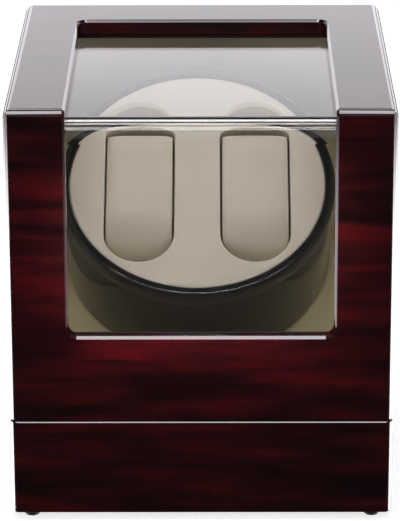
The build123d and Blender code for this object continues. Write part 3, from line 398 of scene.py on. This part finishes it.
polished_brass = metal("polished_brass", (0.83, 0.62, 0.28), 0.16)
bronze = metal("bronze", (0.55, 0.36, 0.20), 0.35)
bright_steel = metal("bright_steel", (0.62, 0.62, 0.63), 0.25)
zinc_steel = metal("zinc_steel", (0.60, 0.61, 0.62), 0.32)
black_steel = metal("black_steel", (0.06, 0.06, 0.065), 0.35)

# %% [markdown]
# ## Which finish goes on which node
# Each node of the frame gets its own finish here, even the hidden ones, so that nothing is bare when the
# lid is open or the base is seen from below.

# %% Finishes for the frame's nodes
node_finishes = {
    lacquer: ("base_frame", "lid_shell"),
    black_board: ("floor_board",),
    raw_board: ("cheek_left", "cheek_right", "rear_board", "panel_board"),
    panel_cream: ("panel_facing",),
    face_cream: ("face_plate",),
    liner_painted_shade: ("slot_liner_left", "slot_liner_right"),
    cushion_cream: ("cushion_cover_left", "cushion_cover_right"),
    band_plastic: ("cushion_band_left", "cushion_band_right"),
    lining_cream: ("lining_left", "lining_right", "lining_rear", "lining_front", "lining_top"),
    acrylic: ("window_pane",),
    foot_rubber: ("rubber_feet",),
    drum_black: ("drum_shell", "drum_rim", "rocker_button"),
    moulded_black: (
        "window_beads",
        "control_plate",
        "mode_switch",
        "mode_knob",
        "rocker_housing",
        "dc_jack",
        "motor_end_cap",
        "pcb_components",
    ),
    nylon: ("gearbox_front", "gearbox_rear", "pcb_spacers"),
    acetal: ("compound_gear", "output_gear", "shaft_collar"),
    circuit: ("pcb",),
    wire_cover: ("wire_leads",),
    polished_brass: (
        "hub",
        "motor_pinion",
        "hinge_leaves_lower",
        "hinge_leaves_upper",
        "hinge_screws_lower",
        "hinge_screws_upper",
    ),
    bronze: ("shaft_bushes",),
    bright_steel: (
        "motor_shaft",
        "output_shaft",
        "idler_axle",
        "hub_screw",
        "gearbox_screws",
        "motor_screws",
        "hinge_pins",
    ),
    zinc_steel: ("motor_can",),
    black_steel: ("panel_screws", "floor_screws", "foot_screws", "plate_screws"),
}


def cover(piece, material):
    """Puts one material on a whole piece."""
    piece.data.materials.clear()
    piece.data.materials.append(material)


for material, names in node_finishes.items():
    for name in names:
        cover(frame["nodes"][name], material)
bare = set(frame["nodes"]) - {name for names in node_finishes.values() for name in names}
print("nodes without a finish:", sorted(bare))

# %% [markdown]
# ## Making and placing pieces
# `mesh_from` makes a mesh from points and faces, and `settle` joins a piece to its body. `softened` takes
# a frame node whose shape is right, welds its loose triangles, merges flat areas, and rolls its edges over
# by a fraction of a millimetre: real edges are never sharp, and the thin bright line along a rolled edge
# is what makes lacquer look like lacquer.


# %% Piece helpers
def settle(piece, body, *stands_for, slot=None):
    """Joins a finished piece to its body and hides the nodes it stands for."""
    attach(piece, body)
    if stands_for:
        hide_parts(*stands_for)
    return piece


def new_object(name, mesh):
    """An object for a mesh, linked into the scene at the origin."""
    piece = bpy.data.objects.new(name, mesh)
    bpy.context.scene.collection.objects.link(piece)
    return piece


def band(here, there, count):
    """The faces between two closed rings of points, which start at the given places."""
    around = [(i, (i + 1) % count) for i in range(count)]
    return [(here + i, here + j, there + j, there + i) for i, j in around]


def mesh_from(name, points, faces, smooth_angle=35.0):
    """A mesh with outward normals, smooth except over sharp corners."""
    mesh = bpy.data.meshes.new(name)
    mesh.from_pydata(points, [], faces)
    form = bmesh.new()
    form.from_mesh(mesh)
    bmesh.ops.remove_doubles(form, verts=form.verts, dist=1e-6)
    bmesh.ops.recalc_face_normals(form, faces=form.faces)
    form.to_mesh(mesh)
    form.free()
    mesh.shade_smooth()
    mesh.set_sharp_from_angle(angle=math.radians(smooth_angle))
    return mesh


def roll_edges(form, width, segments=3, chosen=None, sharpest=30.0):
    """Rolls over the sharp edges of a form, or only the chosen ones."""
    edges = [
        edge
        for edge in form.edges
        if len(edge.link_faces) == 2
        and edge.calc_face_angle() > math.radians(sharpest)
        and (chosen is None or chosen(edge))
    ]
    bmesh.ops.bevel(
        form,
        geom=edges,
        offset=width,
        segments=segments,
        profile=0.5,
        affect="EDGES",
        clamp_overlap=chosen is None,
    )
    return len(edges)


def bake_modifiers(piece):
    """Replaces a piece's mesh with what its modifiers make of it."""
    graph = bpy.context.evaluated_depsgraph_get()
    mesh = bpy.data.meshes.new_from_object(piece.evaluated_get(graph))
    piece.modifiers.clear()
    piece.data = mesh


def softened(node, width, slot=None, name=None, smooth_angle=35.0, first_roll=None):
    """A welded copy of a frame node with rolled edges, in the node's place."""
    source = frame["nodes"][node]
    mesh = source.data.copy()
    form = bmesh.new()
    form.from_mesh(mesh)
    bmesh.ops.remove_doubles(form, verts=form.verts, dist=2e-6)
    bmesh.ops.dissolve_limit(form, angle_limit=math.radians(1.0), verts=form.verts, edges=form.edges)
    if first_roll:
        print(node, "has", roll_edges(form, *first_roll), "long edges rolled")
    roll_edges(form, width)
    form.to_mesh(mesh)
    form.free()
    mesh.shade_smooth()
    mesh.set_sharp_from_angle(angle=math.radians(smooth_angle))
    piece = new_object(name or node + "_finished", mesh)
    even_out = piece.modifiers.new("even_out", "WEIGHTED_NORMAL")
    even_out.keep_sharp = True
    even_out.weight = 100
    bake_modifiers(piece)
    return settle(piece, source["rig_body"], node, slot=slot)


# %% [markdown]
# ## The lacquered shells
# The lid and the base are welded copies with edges rolled by under a millimetre. The same striped wood
# covers both, so the streaks line up across the seam, as they do on a box that is veneered first and sawn
# apart after.

# %% Lid and base
SHORTEST_LONG_EDGE = 15 * MM
CHAMFER_REACH = 2.5 * MM
case_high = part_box("lid_shell")[1]


def on_the_outside(edge):
    """True for the long edges of the outer chamfers, away from the window and the hinges."""
    if edge.calc_length() < SHORTEST_LONG_EDGE:
        return False
    middle = (edge.verts[0].co + edge.verts[1].co) / 2
    near_side = abs(middle.x) > case_high.x - CHAMFER_REACH
    near_end = abs(middle.y) > case_high.y - CHAMFER_REACH
    near_top = middle.z > case_high.z - CHAMFER_REACH
    return near_side + near_end + near_top > 1


LONG_EDGES = (1.2 * MM, 6, on_the_outside)
lid = softened("lid_shell", 0.55 * MM, "lacquered_wood", "lid_shell_lacquered", first_roll=LONG_EDGES)
base = softened("base_frame", 0.35 * MM, "lacquered_wood", "base_frame_lacquered", first_roll=LONG_EDGES)
print("lid has", len(lid.data.polygons), "faces")

# %% [markdown]
# ## The window
# The window is one acrylic sheet, heated and bent over a former. Its outline in the side view is two
# straight leaves and a quarter circle, so that outline is drawn twice, once for each face of the sheet,
# and carried across the width. The steps round the bend are small, because every flat would show as a band
# in the refraction.

# %% Bent window
BEND_OUTER = 10.0 * MM
SHEET_THICKNESS = 2.6 * MM
BEND_STEPS = 32


def bent_outline(low, high, inset):
    """The sheet's outline in the side view, at an inset from its outer face."""
    radius = BEND_OUTER - inset
    centre_y = low.y + BEND_OUTER
    centre_z = high.z - BEND_OUTER
    points = [(low.y + inset, low.z)]
    for step in range(BEND_STEPS + 1):
        angle = math.pi - step / BEND_STEPS * math.pi / 2
        points.append((centre_y + radius * math.cos(angle), centre_z + radius * math.sin(angle)))
    points.append((high.y, high.z - inset))
    return points


def window_sheet():
    """The bent sheet as a closed solid."""
    low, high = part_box("window_pane")
    ring = bent_outline(low, high, 0.0) + list(reversed(bent_outline(low, high, SHEET_THICKNESS)))
    count = len(ring)
    points = [(x, y, z) for x in (low.x, high.x) for y, z in ring]
    faces = [(i, (i + 1) % count, count + (i + 1) % count, count + i) for i in range(count)]
    half = count // 2
    for side in (0, count):
        for i in range(half - 1):
            faces.append((side + i, side + i + 1, side + count - 2 - i, side + count - 1 - i))
    return mesh_from("window_sheet", points, faces)


window = new_object("window_sheet", window_sheet())
cover(window, acrylic)
settle(window, "lid", "window_pane", slot="clear_acrylic")
print("window has", len(window.data.polygons), "faces")


# %% [markdown]
# ## The drum
# The drum is a cup with a ring pushed on its mouth. Both are round, so each is a half outline spun about
# the drum's axis. The outline lists only the corners: radius and depth behind the face, with a radius for
# each rounded corner.


# %% Spun pieces
SPIN_STEPS = 160


def rounded(corners, steps=6):
    """An outline whose corners are rounded. Each corner is (radius, depth, rounding)."""
    points = []
    count = len(corners)
    for index, (x, y, rounding) in enumerate(corners):
        here = Vector((x, y))
        if rounding == 0:
            points.append(here)
            continue
        before = (Vector(corners[index - 1][:2]) - here).normalized()
        after = (Vector(corners[(index + 1) % count][:2]) - here).normalized()
        half_turn = before.angle(after) / 2
        reach = rounding / math.tan(half_turn)
        middle = here + (before + after).normalized() * (rounding / math.sin(half_turn))
        start = here + before * reach - middle
        turn = start.angle_signed(here + after * reach - middle)
        for step in range(steps + 1):
            angle = -turn * step / steps
            cosine, sine = math.cos(angle), math.sin(angle)
            turned = Vector((start.x * cosine - start.y * sine, start.x * sine + start.y * cosine))
            points.append(middle + turned)
    return points


def spun(name, corners, place):
    """A closed outline spun about Z and put in place."""
    ring = rounded([(x * MM, y * MM, r * MM) for x, y, r in corners])
    points = []
    for step in range(SPIN_STEPS):
        angle = 2 * math.pi * step / SPIN_STEPS
        points += [place @ Vector((p.x * math.cos(angle), p.x * math.sin(angle), p.y)) for p in ring]
    count = len(ring)
    faces = []
    for step in range(SPIN_STEPS):
        faces += band(step * count, (step + 1) % SPIN_STEPS * count, count)
    return mesh_from(name, points, faces, smooth_angle=40.0)


# %% Drum cup and ring
cup_outline = [
    (3.0, -54.5, 0),
    (62.0, -54.5, 2.0),
    (62.0, -8.0, 0.3),
    (59.8, -8.0, 0.3),
    (59.8, -52.0, 1.5),
    (3.0, -52.0, 0),
]
ring_outline = [
    (63.3, -8.0, 0.5),
    (63.3, 0.0, 1.6),
    (58.8, 0.0, 0.5),
    (58.8, -4.0, 0.1),
    (57.3, -4.0, 0.2),
    (57.3, -13.0, 0.2),
    (59.75, -13.0, 0.2),
    (59.75, -8.0, 0.05),
]
cup = new_object("drum_cup", spun("drum_cup", cup_outline, drum_frame))
cover(cup, drum_black)
settle(cup, "turntable", "drum_shell", slot="black_gloss")
ring = new_object("drum_ring", spun("drum_ring", ring_outline, drum_frame))
cover(ring, drum_black)
settle(ring, "turntable", "drum_rim", slot="black_gloss")
print("drum cup has", len(cup.data.polygons), "faces")

# %% [markdown]
# ## The covered face
# The face is a board disc wrapped in leatherette, with two slots cut through it. The cloth is drawn over
# every edge, so the edges are round and the corners into the slots are soft. It is a welded copy of the
# frame's disc with a small roll on every sharp edge. The deep linings behind the slots are thin tubs: rings
# of one outline at several depths, joined by bands.

# %% Face and slot linings
face = softened("face_plate", 0.25 * MM, "cream_leatherette", "face_covered", smooth_angle=50.0)

SLOT_WIDTH = 32.0 * MM
SLOT_LENGTH = 88.0 * MM
SLOT_OFFSET = 26.5 * MM
LINER_STEPS = 24


def slot_outline(width, length):
    """A slot's outline, half-round at both ends."""
    radius = width / 2
    reach = length / 2 - radius
    points = []
    for step in range(LINER_STEPS + 1):
        angle = math.pi * step / LINER_STEPS
        points.append((radius * math.cos(angle), reach + radius * math.sin(angle)))
    return points + [(-x, -y) for x, y in points]


def slot_liner(name, side):
    """A thin tub with a flange, as rings of the slot's outline at several depths."""
    inside = [(2.4, -5.0), (2.4, -4.0), (0.4, -4.0), (0.4, -42.8), (0.0, -43.5), (-2.0, -43.8)]
    outside = [(-2.0, -45.0), (0.9, -45.0), (1.6, -44.2), (1.6, -5.0)]
    rings = []
    for grow, depth in inside + outside:
        outline = slot_outline(SLOT_WIDTH + 2 * grow * MM, SLOT_LENGTH + 2 * grow * MM)
        place = drum_frame @ Matrix.Translation((side * SLOT_OFFSET, 0, depth * MM))
        rings.append([place @ Vector((x, y, 0)) for x, y in outline])
    count = len(rings[0])
    floor_in = len(inside) - 1
    floor_out = len(inside)
    faces = []
    for level in range(len(rings)):
        if level != floor_in:
            faces += band(level * count, (level + 1) % len(rings) * count, count)
    faces.append(tuple(floor_in * count + i for i in range(count)))
    faces.append(tuple(floor_out * count + i for i in reversed(range(count))))
    return mesh_from(name, [point for ring in rings for point in ring], faces, smooth_angle=50.0)


for side, word in ((-1, "left"), (1, "right")):
    liner = new_object("slot_lining_painted_shade_" + word, slot_liner("slot_lining_painted_shade_" + word, side))
    # The liner's darker olive colour is painted shade, not the cloth's own colour.
    cover(liner, liner_painted_shade)
    settle(liner, "turntable", "slot_liner_" + word, slot="cream_leatherette")
print("face has", len(face.data.polygons), "faces")

# %% [markdown]
# ## The cushions
# Each cushion is a springy band bent into a long C and wrapped in padded leatherette. The padding swells
# the outer side a little between its two sewn edges, so the section is a shallow dome with round
# shoulders. The section is carried round the C from one end of its gap to the other, and narrows where it
# turns down into the slot's round ends.

# %% Padded covers
CUSHION_HALF_WIDTH = 15.0
CUSHION_STRAIGHT = 16.0
CUSHION_RADIUS = 22.0
CUSHION_TOP = 1.2
CUSHION_GAP_HALF = 6.0
PADDING = 2.6
PASSAGE_RADIUS = 15.5
PASSAGE_REACH = 28.0
TURN_STEPS = 40
ACROSS_STEPS = 20


def c_path():
    """Points round the C in the drum's side view: place up the slope, height, and outward direction."""
    centre = CUSHION_TOP - CUSHION_RADIUS
    back = centre - CUSHION_RADIUS
    path = []
    for step in range(7):
        path.append((CUSHION_GAP_HALF + (CUSHION_STRAIGHT - CUSHION_GAP_HALF) * step / 6, back, 0.0, -1.0))
    for step in range(1, TURN_STEPS):
        angle = -math.pi / 2 + math.pi * step / TURN_STEPS
        out = (math.cos(angle), math.sin(angle))
        path.append((CUSHION_STRAIGHT + CUSHION_RADIUS * out[0], centre + CUSHION_RADIUS * out[1], *out))
    front = [(CUSHION_STRAIGHT * (1 - step / 12), CUSHION_TOP, 0.0, 1.0) for step in range(12)]
    path += front
    mirrored = [(-v, w, -out_v, out_w) for v, w, out_v, out_w in reversed(path)]
    return path + [(0.0, CUSHION_TOP, 0.0, 1.0)] + mirrored


def half_width(v):
    """Half the cushion's width where it lies a distance up the slope from its middle."""
    past = max(0.0, abs(v) - PASSAGE_REACH)
    return min(CUSHION_HALF_WIDTH, math.sqrt(PASSAGE_RADIUS**2 - past**2))


def padded_cover(name, side):
    """The wrapped padding as one closed tube of sections along the C."""
    path = c_path()
    rings = []
    for v, w, out_v, out_w in path:
        half = half_width(v)
        section = []
        for step in range(ACROSS_STEPS + 1):
            across = -1 + 2 * step / ACROSS_STEPS
            across = math.sin(across * math.pi / 2)
            drop = 0.30 * across**2 + 1.5 * abs(across) ** 9
            section.append((half * across * 0.995, -drop))
        inner = half - 0.5
        section += [(half, -PADDING * 0.72), (half - 0.1, -PADDING * 0.9), (inner, -PADDING)]
        section += [(-inner, -PADDING), (-half + 0.1, -PADDING * 0.9), (-half, -PADDING * 0.72)]
        ring = []
        for x, lift in section:
            local = Vector((side * SLOT_OFFSET / MM + x, v + out_v * lift, w + out_w * lift))
            ring.append(drum_frame @ (local * MM))
        rings.append(ring)
    count = len(rings[0])
    faces = []
    for step in range(len(rings) - 1):
        faces += band(step * count, (step + 1) * count, count)
    faces.append(tuple(range(count)))
    faces.append(tuple((len(rings) - 1) * count + i for i in reversed(range(count))))
    return mesh_from(name, [point for ring in rings for point in ring], faces, smooth_angle=50.0)


for side, word in ((-1, "left"), (1, "right")):
    cushion = new_object("cushion_padded_" + word, padded_cover("cushion_padded_" + word, side))
    cover(cushion, cushion_cream)
    stands_for = "cushion_cover_" + word
    settle(cushion, frame["nodes"][stands_for]["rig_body"], stands_for, slot="cream_leatherette")
    print(word, "cushion has", len(cushion.data.polygons), "faces")

# %% [markdown]
# ## Repeats made by rule
# Stitches are many copies of one small form, so they are made by a small rule: a Geometry Nodes tree that
# puts a stitch on points along a line. It has named inputs, is evaluated once, and leaves a plain mesh.


# %% Stitches along a path
def stitch_rule():
    """A node tree that lays stitches along a line of edges."""
    tree = bpy.data.node_groups.new("stitches_along_line", "GeometryNodeTree")
    face = tree.interface
    face.new_socket("Line", in_out="INPUT", socket_type="NodeSocketGeometry")
    for label, start in (("Pitch", 0.003), ("Thread Radius", 0.0002), ("Stitch Length", 0.0022)):
        face.new_socket(label, in_out="INPUT", socket_type="NodeSocketFloat").default_value = start
    face.new_socket("Seed", in_out="INPUT", socket_type="NodeSocketInt").default_value = 3
    face.new_socket("Thread", in_out="INPUT", socket_type="NodeSocketMaterial")
    face.new_socket("Stitches", in_out="OUTPUT", socket_type="NodeSocketGeometry")
    nodes, links = tree.nodes, tree.links
    entry, leave = nodes.new("NodeGroupInput"), nodes.new("NodeGroupOutput")
    curve = nodes.new("GeometryNodeMeshToCurve")
    points = nodes.new("GeometryNodeCurveToPoints")
    points.mode = "LENGTH"
    thread = nodes.new("GeometryNodeMeshUVSphere")
    thread.inputs["Segments"].default_value = 8
    thread.inputs["Rings"].default_value = 6
    size = nodes.new("ShaderNodeCombineXYZ")
    stretch = nodes.new("GeometryNodeTransform")
    half = nodes.new("ShaderNodeMath")
    half.operation = "MULTIPLY"
    half.inputs[1].default_value = 0.5
    wobble = nodes.new("FunctionNodeRandomValue")
    wobble.data_type = "FLOAT"
    wobble.inputs[2].default_value = 0.9
    wobble.inputs[3].default_value = 1.08
    place = nodes.new("GeometryNodeInstanceOnPoints")
    real = nodes.new("GeometryNodeRealizeInstances")
    paint = nodes.new("GeometryNodeSetMaterial")
    links.new(entry.outputs["Line"], curve.inputs["Mesh"])
    links.new(curve.outputs["Curve"], points.inputs["Curve"])
    links.new(entry.outputs["Pitch"], points.inputs["Length"])
    links.new(entry.outputs["Stitch Length"], half.inputs[0])
    thread.inputs["Radius"].default_value = 1.0
    links.new(entry.outputs["Thread Radius"], size.inputs["X"])
    links.new(entry.outputs["Thread Radius"], size.inputs["Y"])
    links.new(half.outputs[0], size.inputs["Z"])
    links.new(thread.outputs["Mesh"], stretch.inputs["Geometry"])
    links.new(size.outputs[0], stretch.inputs["Scale"])
    links.new(points.outputs["Points"], place.inputs["Points"])
    links.new(points.outputs["Rotation"], place.inputs["Rotation"])
    links.new(stretch.outputs["Geometry"], place.inputs["Instance"])
    links.new(entry.outputs["Seed"], wobble.inputs["Seed"])
    links.new(wobble.outputs[1], place.inputs["Scale"])
    links.new(place.outputs["Instances"], real.inputs["Geometry"])
    links.new(real.outputs["Geometry"], paint.inputs["Geometry"])
    links.new(entry.outputs["Thread"], paint.inputs["Material"])
    links.new(paint.outputs["Geometry"], leave.inputs["Stitches"])
    return tree


def apply_rule(piece, tree, **inputs):
    """Runs a rule on a piece once, with its named inputs, and keeps the plain result."""
    rule = piece.modifiers.new("rule", "NODES")
    rule.node_group = tree
    sockets = {item.name: item.identifier for item in tree.interface.items_tree if item.in_out == "INPUT"}
    for label, value in inputs.items():
        rule[sockets[label.replace("_", " ")]] = value
    bake_modifiers(piece)


stitches = stitch_rule()
thread_cream = finish("sewing_thread", Base_Color=(0.62, 0.54, 0.40, 1), Roughness=0.6)

for side, word in ((-1, "left"), (1, "right")):
    points = []
    edges = []
    for edge_side in (-1, 1):
        start = len(points)
        for v, w, out_v, out_w in c_path():
            x = side * SLOT_OFFSET / MM + edge_side * half_width(v)
            lift = -PADDING * 0.55
            points.append(drum_frame @ (Vector((x, v + out_v * lift, w + out_w * lift)) * MM))
        edges += [(i, i + 1) for i in range(start, len(points) - 1)]
    line = bpy.data.meshes.new("cushion_stitches_" + word)
    line.from_pydata(points, edges, [])
    seam = new_object("cushion_stitches_" + word, line)
    apply_rule(
        seam,
        stitches,
        Pitch=0.0032,
        Thread_Radius=0.00022,
        Stitch_Length=0.0024,
        Seed=3,
        Thread=thread_cream,
    )
    settle(seam, frame["nodes"]["cushion_cover_" + word]["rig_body"], slot="cream_leatherette")
    print(word, "stitches:", len(seam.data.polygons), "faces")

# %% [markdown]
# ## Small fittings
# The feet, hinges and controls are mouldings and castings, whose edges are never sharp. Each is a welded
# copy of its node with a small roll on every edge, so that each catches a thin line of light.

# %% Fittings with rolled edges
rolled = {
    "rubber_feet": 0.35,
    "floor_board": 0.4,
    "panel_facing": 0.25,
    "window_beads": 0.3,
    "control_plate": 0.3,
    "mode_knob": 0.12,
    "rocker_housing": 0.25,
    "rocker_button": 0.25,
    "dc_jack": 0.2,
    "hinge_leaves_lower": 0.12,
    "hinge_leaves_upper": 0.12,
    "cushion_band_left": 0.2,
    "cushion_band_right": 0.2,
    "hub": 0.2,
    "hub_screw": 0.15,
    "plate_screws": 0.1,
    "floor_screws": 0.1,
    "foot_screws": 0.1,
    "hinge_pins": 0.1,
}
for node, width in rolled.items():
    piece = softened(node, width * MM)
    print(node, len(piece.data.polygons), "faces")

# %% [markdown]
# ## Light and floor
# Lacquer shows only what stands around it, so the light is built as a picture of the studio: a bright wall
# behind and above that the level faces mirror, darkness on the camera's side that keeps the front deep and
# clear, and bright strips at the sides that draw the thin lines down the upright edges.


# %% Studio
def studio():
    """The world: one picture for mirrors and one even light for everything else."""
    world = bpy.data.worlds.new("studio")
    bpy.context.scene.world = world
    world.use_nodes = True
    tree = world.node_tree
    tree.nodes.clear()

    def add(kind, **settings):
        node = tree.nodes.new("ShaderNode" + kind)
        for key, value in settings.items():
            setattr(node, key, value)
        return node

    def math_node(operation, first, second, third=None):
        node = add("Math", operation=operation)
        for socket, value in zip(node.inputs, (first, second, third)):
            if value is None:
                continue
            if hasattr(value, "links"):
                tree.links.new(value, socket)
            else:
                socket.default_value = value
        return node.outputs[0]

    def step_up(value, low, high):
        node = add("MapRange", interpolation_type="SMOOTHSTEP")
        tree.links.new(value, node.inputs["Value"])
        node.inputs["From Min"].default_value = low
        node.inputs["From Max"].default_value = high
        return node.outputs[0]

    def between(value, low, high, soft):
        """1 between two values and 0 outside them, with soft ends."""
        rise = step_up(value, low - soft / 2, low + soft / 2)
        fall = step_up(value, high - soft / 2, high + soft / 2)
        return math_node("SUBTRACT", rise, fall)

    direction = add("SeparateXYZ")
    tree.links.new(add("TexCoord").outputs["Generated"], direction.inputs["Vector"])
    x, y, z = (direction.outputs[axis] for axis in "XYZ")
    sideways = math_node("ABSOLUTE", x, 0.0)

    falloff = add("MapRange")
    tree.links.new(z, falloff.inputs["Value"])
    for socket, value in (("From Min", 0.22), ("From Max", 0.32), ("To Min", 1.9), ("To Max", 0.93)):
        falloff.inputs[socket].default_value = value
    wall = math_node("MULTIPLY", step_up(y, 0.25, 0.5), between(z, -0.07, 0.66, 0.10))
    wall = math_node("MULTIPLY", wall, falloff.outputs[0])
    overhead = math_node("MULTIPLY", between(z, 0.895, 0.955, 0.02), step_up(y, 0.10, 0.20))
    strips = math_node("MULTIPLY", between(sideways, 0.62, 0.97, 0.05), step_up(y, -0.06, 0.0))
    strips = math_node("MULTIPLY", strips, math_node("SUBTRACT", 1.0, step_up(z, -0.33, -0.27)))
    behind_camera = math_node("SUBTRACT", 1.0, step_up(y, -0.45, -0.25))
    veil = math_node("MULTIPLY", between(z, 0.30, 0.80, 0.20), behind_camera)
    picture = math_node("MULTIPLY_ADD", overhead, 9.0, wall)
    picture = math_node("MULTIPLY_ADD", strips, 13.0, picture)
    picture = math_node("MULTIPLY_ADD", veil, 0.30, picture)
    in_front = math_node("SUBTRACT", 1.0, step_up(y, -0.15, -0.10))
    sill_line = math_node("MULTIPLY", between(z, 0.915, 0.965, 0.01), in_front)
    picture = math_node("MULTIPLY_ADD", sill_line, 8.0, picture)
    picture = math_node("ADD", picture, 0.02)
    mirror = add("Background")
    mirror.inputs["Color"].default_value = (0.98, 0.96, 1.0, 1)
    tree.links.new(picture, mirror.inputs["Strength"])
    even = add("Background")
    even.inputs["Color"].default_value = (1, 1, 1, 1)
    path = add("LightPath")
    even_strength = math_node("MULTIPLY_ADD", path.outputs["Is Camera Ray"], 0.67, 0.33)
    tree.links.new(even_strength, even.inputs["Strength"])
    join = add("MixShader")
    tree.links.new(path.outputs["Is Glossy Ray"], join.inputs[0])
    tree.links.new(even.outputs[0], join.inputs[1])
    tree.links.new(mirror.outputs[0], join.inputs[2])
    tree.links.new(join.outputs[0], add("OutputWorld").inputs["Surface"])


def soft_lamp(name, spot, aim, size, power, colour=(1, 1, 1)):
    """An area lamp that only lights. The size is a side, or a width and a height."""
    data = bpy.data.lights.new(name, "AREA")
    if isinstance(size, tuple):
        data.shape = "RECTANGLE"
        data.size, data.size_y = size
    else:
        data.size = size
    data.energy = power
    data.color = colour
    lamp = bpy.data.objects.new(name, data)
    lamp.location = spot
    lamp.rotation_euler = (Vector(aim) - Vector(spot)).to_track_quat("-Z", "Y").to_euler()
    lamp.visible_camera = False
    lamp.visible_glossy = False
    lamp.visible_transmission = False
    bpy.context.scene.collection.objects.link(lamp)
    return lamp


studio()
soft_lamp("overhead", (0.0, 0.45, 1.2), (0, 0, 0.1), 0.45, 2.0)
soft_lamp("key", (-0.5, -0.9, 1.1), (0, 0, 0.1), 0.7, 0.8)
soft_lamp("front", (0.0, -0.8, 0.25), (0, -0.03, 0.12), 0.4, 1.15, (1.0, 0.97, 0.93))
soft_lamp("sill_glow", (0.0, -0.118, 0.100), (0, -0.05, 0.095), (0.10, 0.02), 0.048, (1.0, 0.97, 0.90))
soft_lamp(
    "left_glow", (-0.050, -0.112, 0.135), (-0.052, -0.02, 0.125), (0.015, 0.05), 0.016, (1.0, 0.95, 0.83)
)
soft_lamp(
    "right_glow", (0.048, -0.112, 0.135), (0.050, -0.02, 0.125), (0.015, 0.05), 0.014, (1.0, 0.95, 0.83)
)

# %% [markdown]
# The floor is a wide pale sheet. It takes a soft contact shadow under the feet. Mirrors look through it,
# so the lacquer shows the studio picture and not a second floor.


# %% Floor
def pale_floor():
    """A wide floor sheet and its finish."""
    reach = 12.0
    corners = [(-reach, -reach, 0), (reach, -reach, 0), (reach, reach, 0), (-reach, reach, 0)]
    mesh = mesh_from("floor", corners, [(0, 1, 2, 3)])
    floor = new_object("floor", mesh)
    material = finish("pale_floor", Base_Color=(0.9, 0.9, 0.9, 1), Roughness=0.9)
    shader = material.node_tree.nodes["Principled BSDF"]
    shader.inputs["Emission Color"].default_value = (1, 1, 1, 1)
    path = add_node(material, "LightPath")
    glow = add_node(material, "Math", operation="MULTIPLY")
    glow.inputs[1].default_value = 0.70
    wire(material, path.outputs["Is Camera Ray"], glow.inputs[0])
    wire(material, glow.outputs[0], shader.inputs["Emission Strength"])
    join = add_node(material, "MixShader")
    wire(material, path.outputs["Is Glossy Ray"], join.inputs[0])
    wire(material, shader.outputs[0], join.inputs[1])
    wire(material, add_node(material, "BsdfTransparent").outputs[0], join.inputs[2])
    wire(material, join.outputs[0], material.node_tree.nodes["Material Output"].inputs["Surface"])
    cover(floor, material)
    return floor


pale_floor()
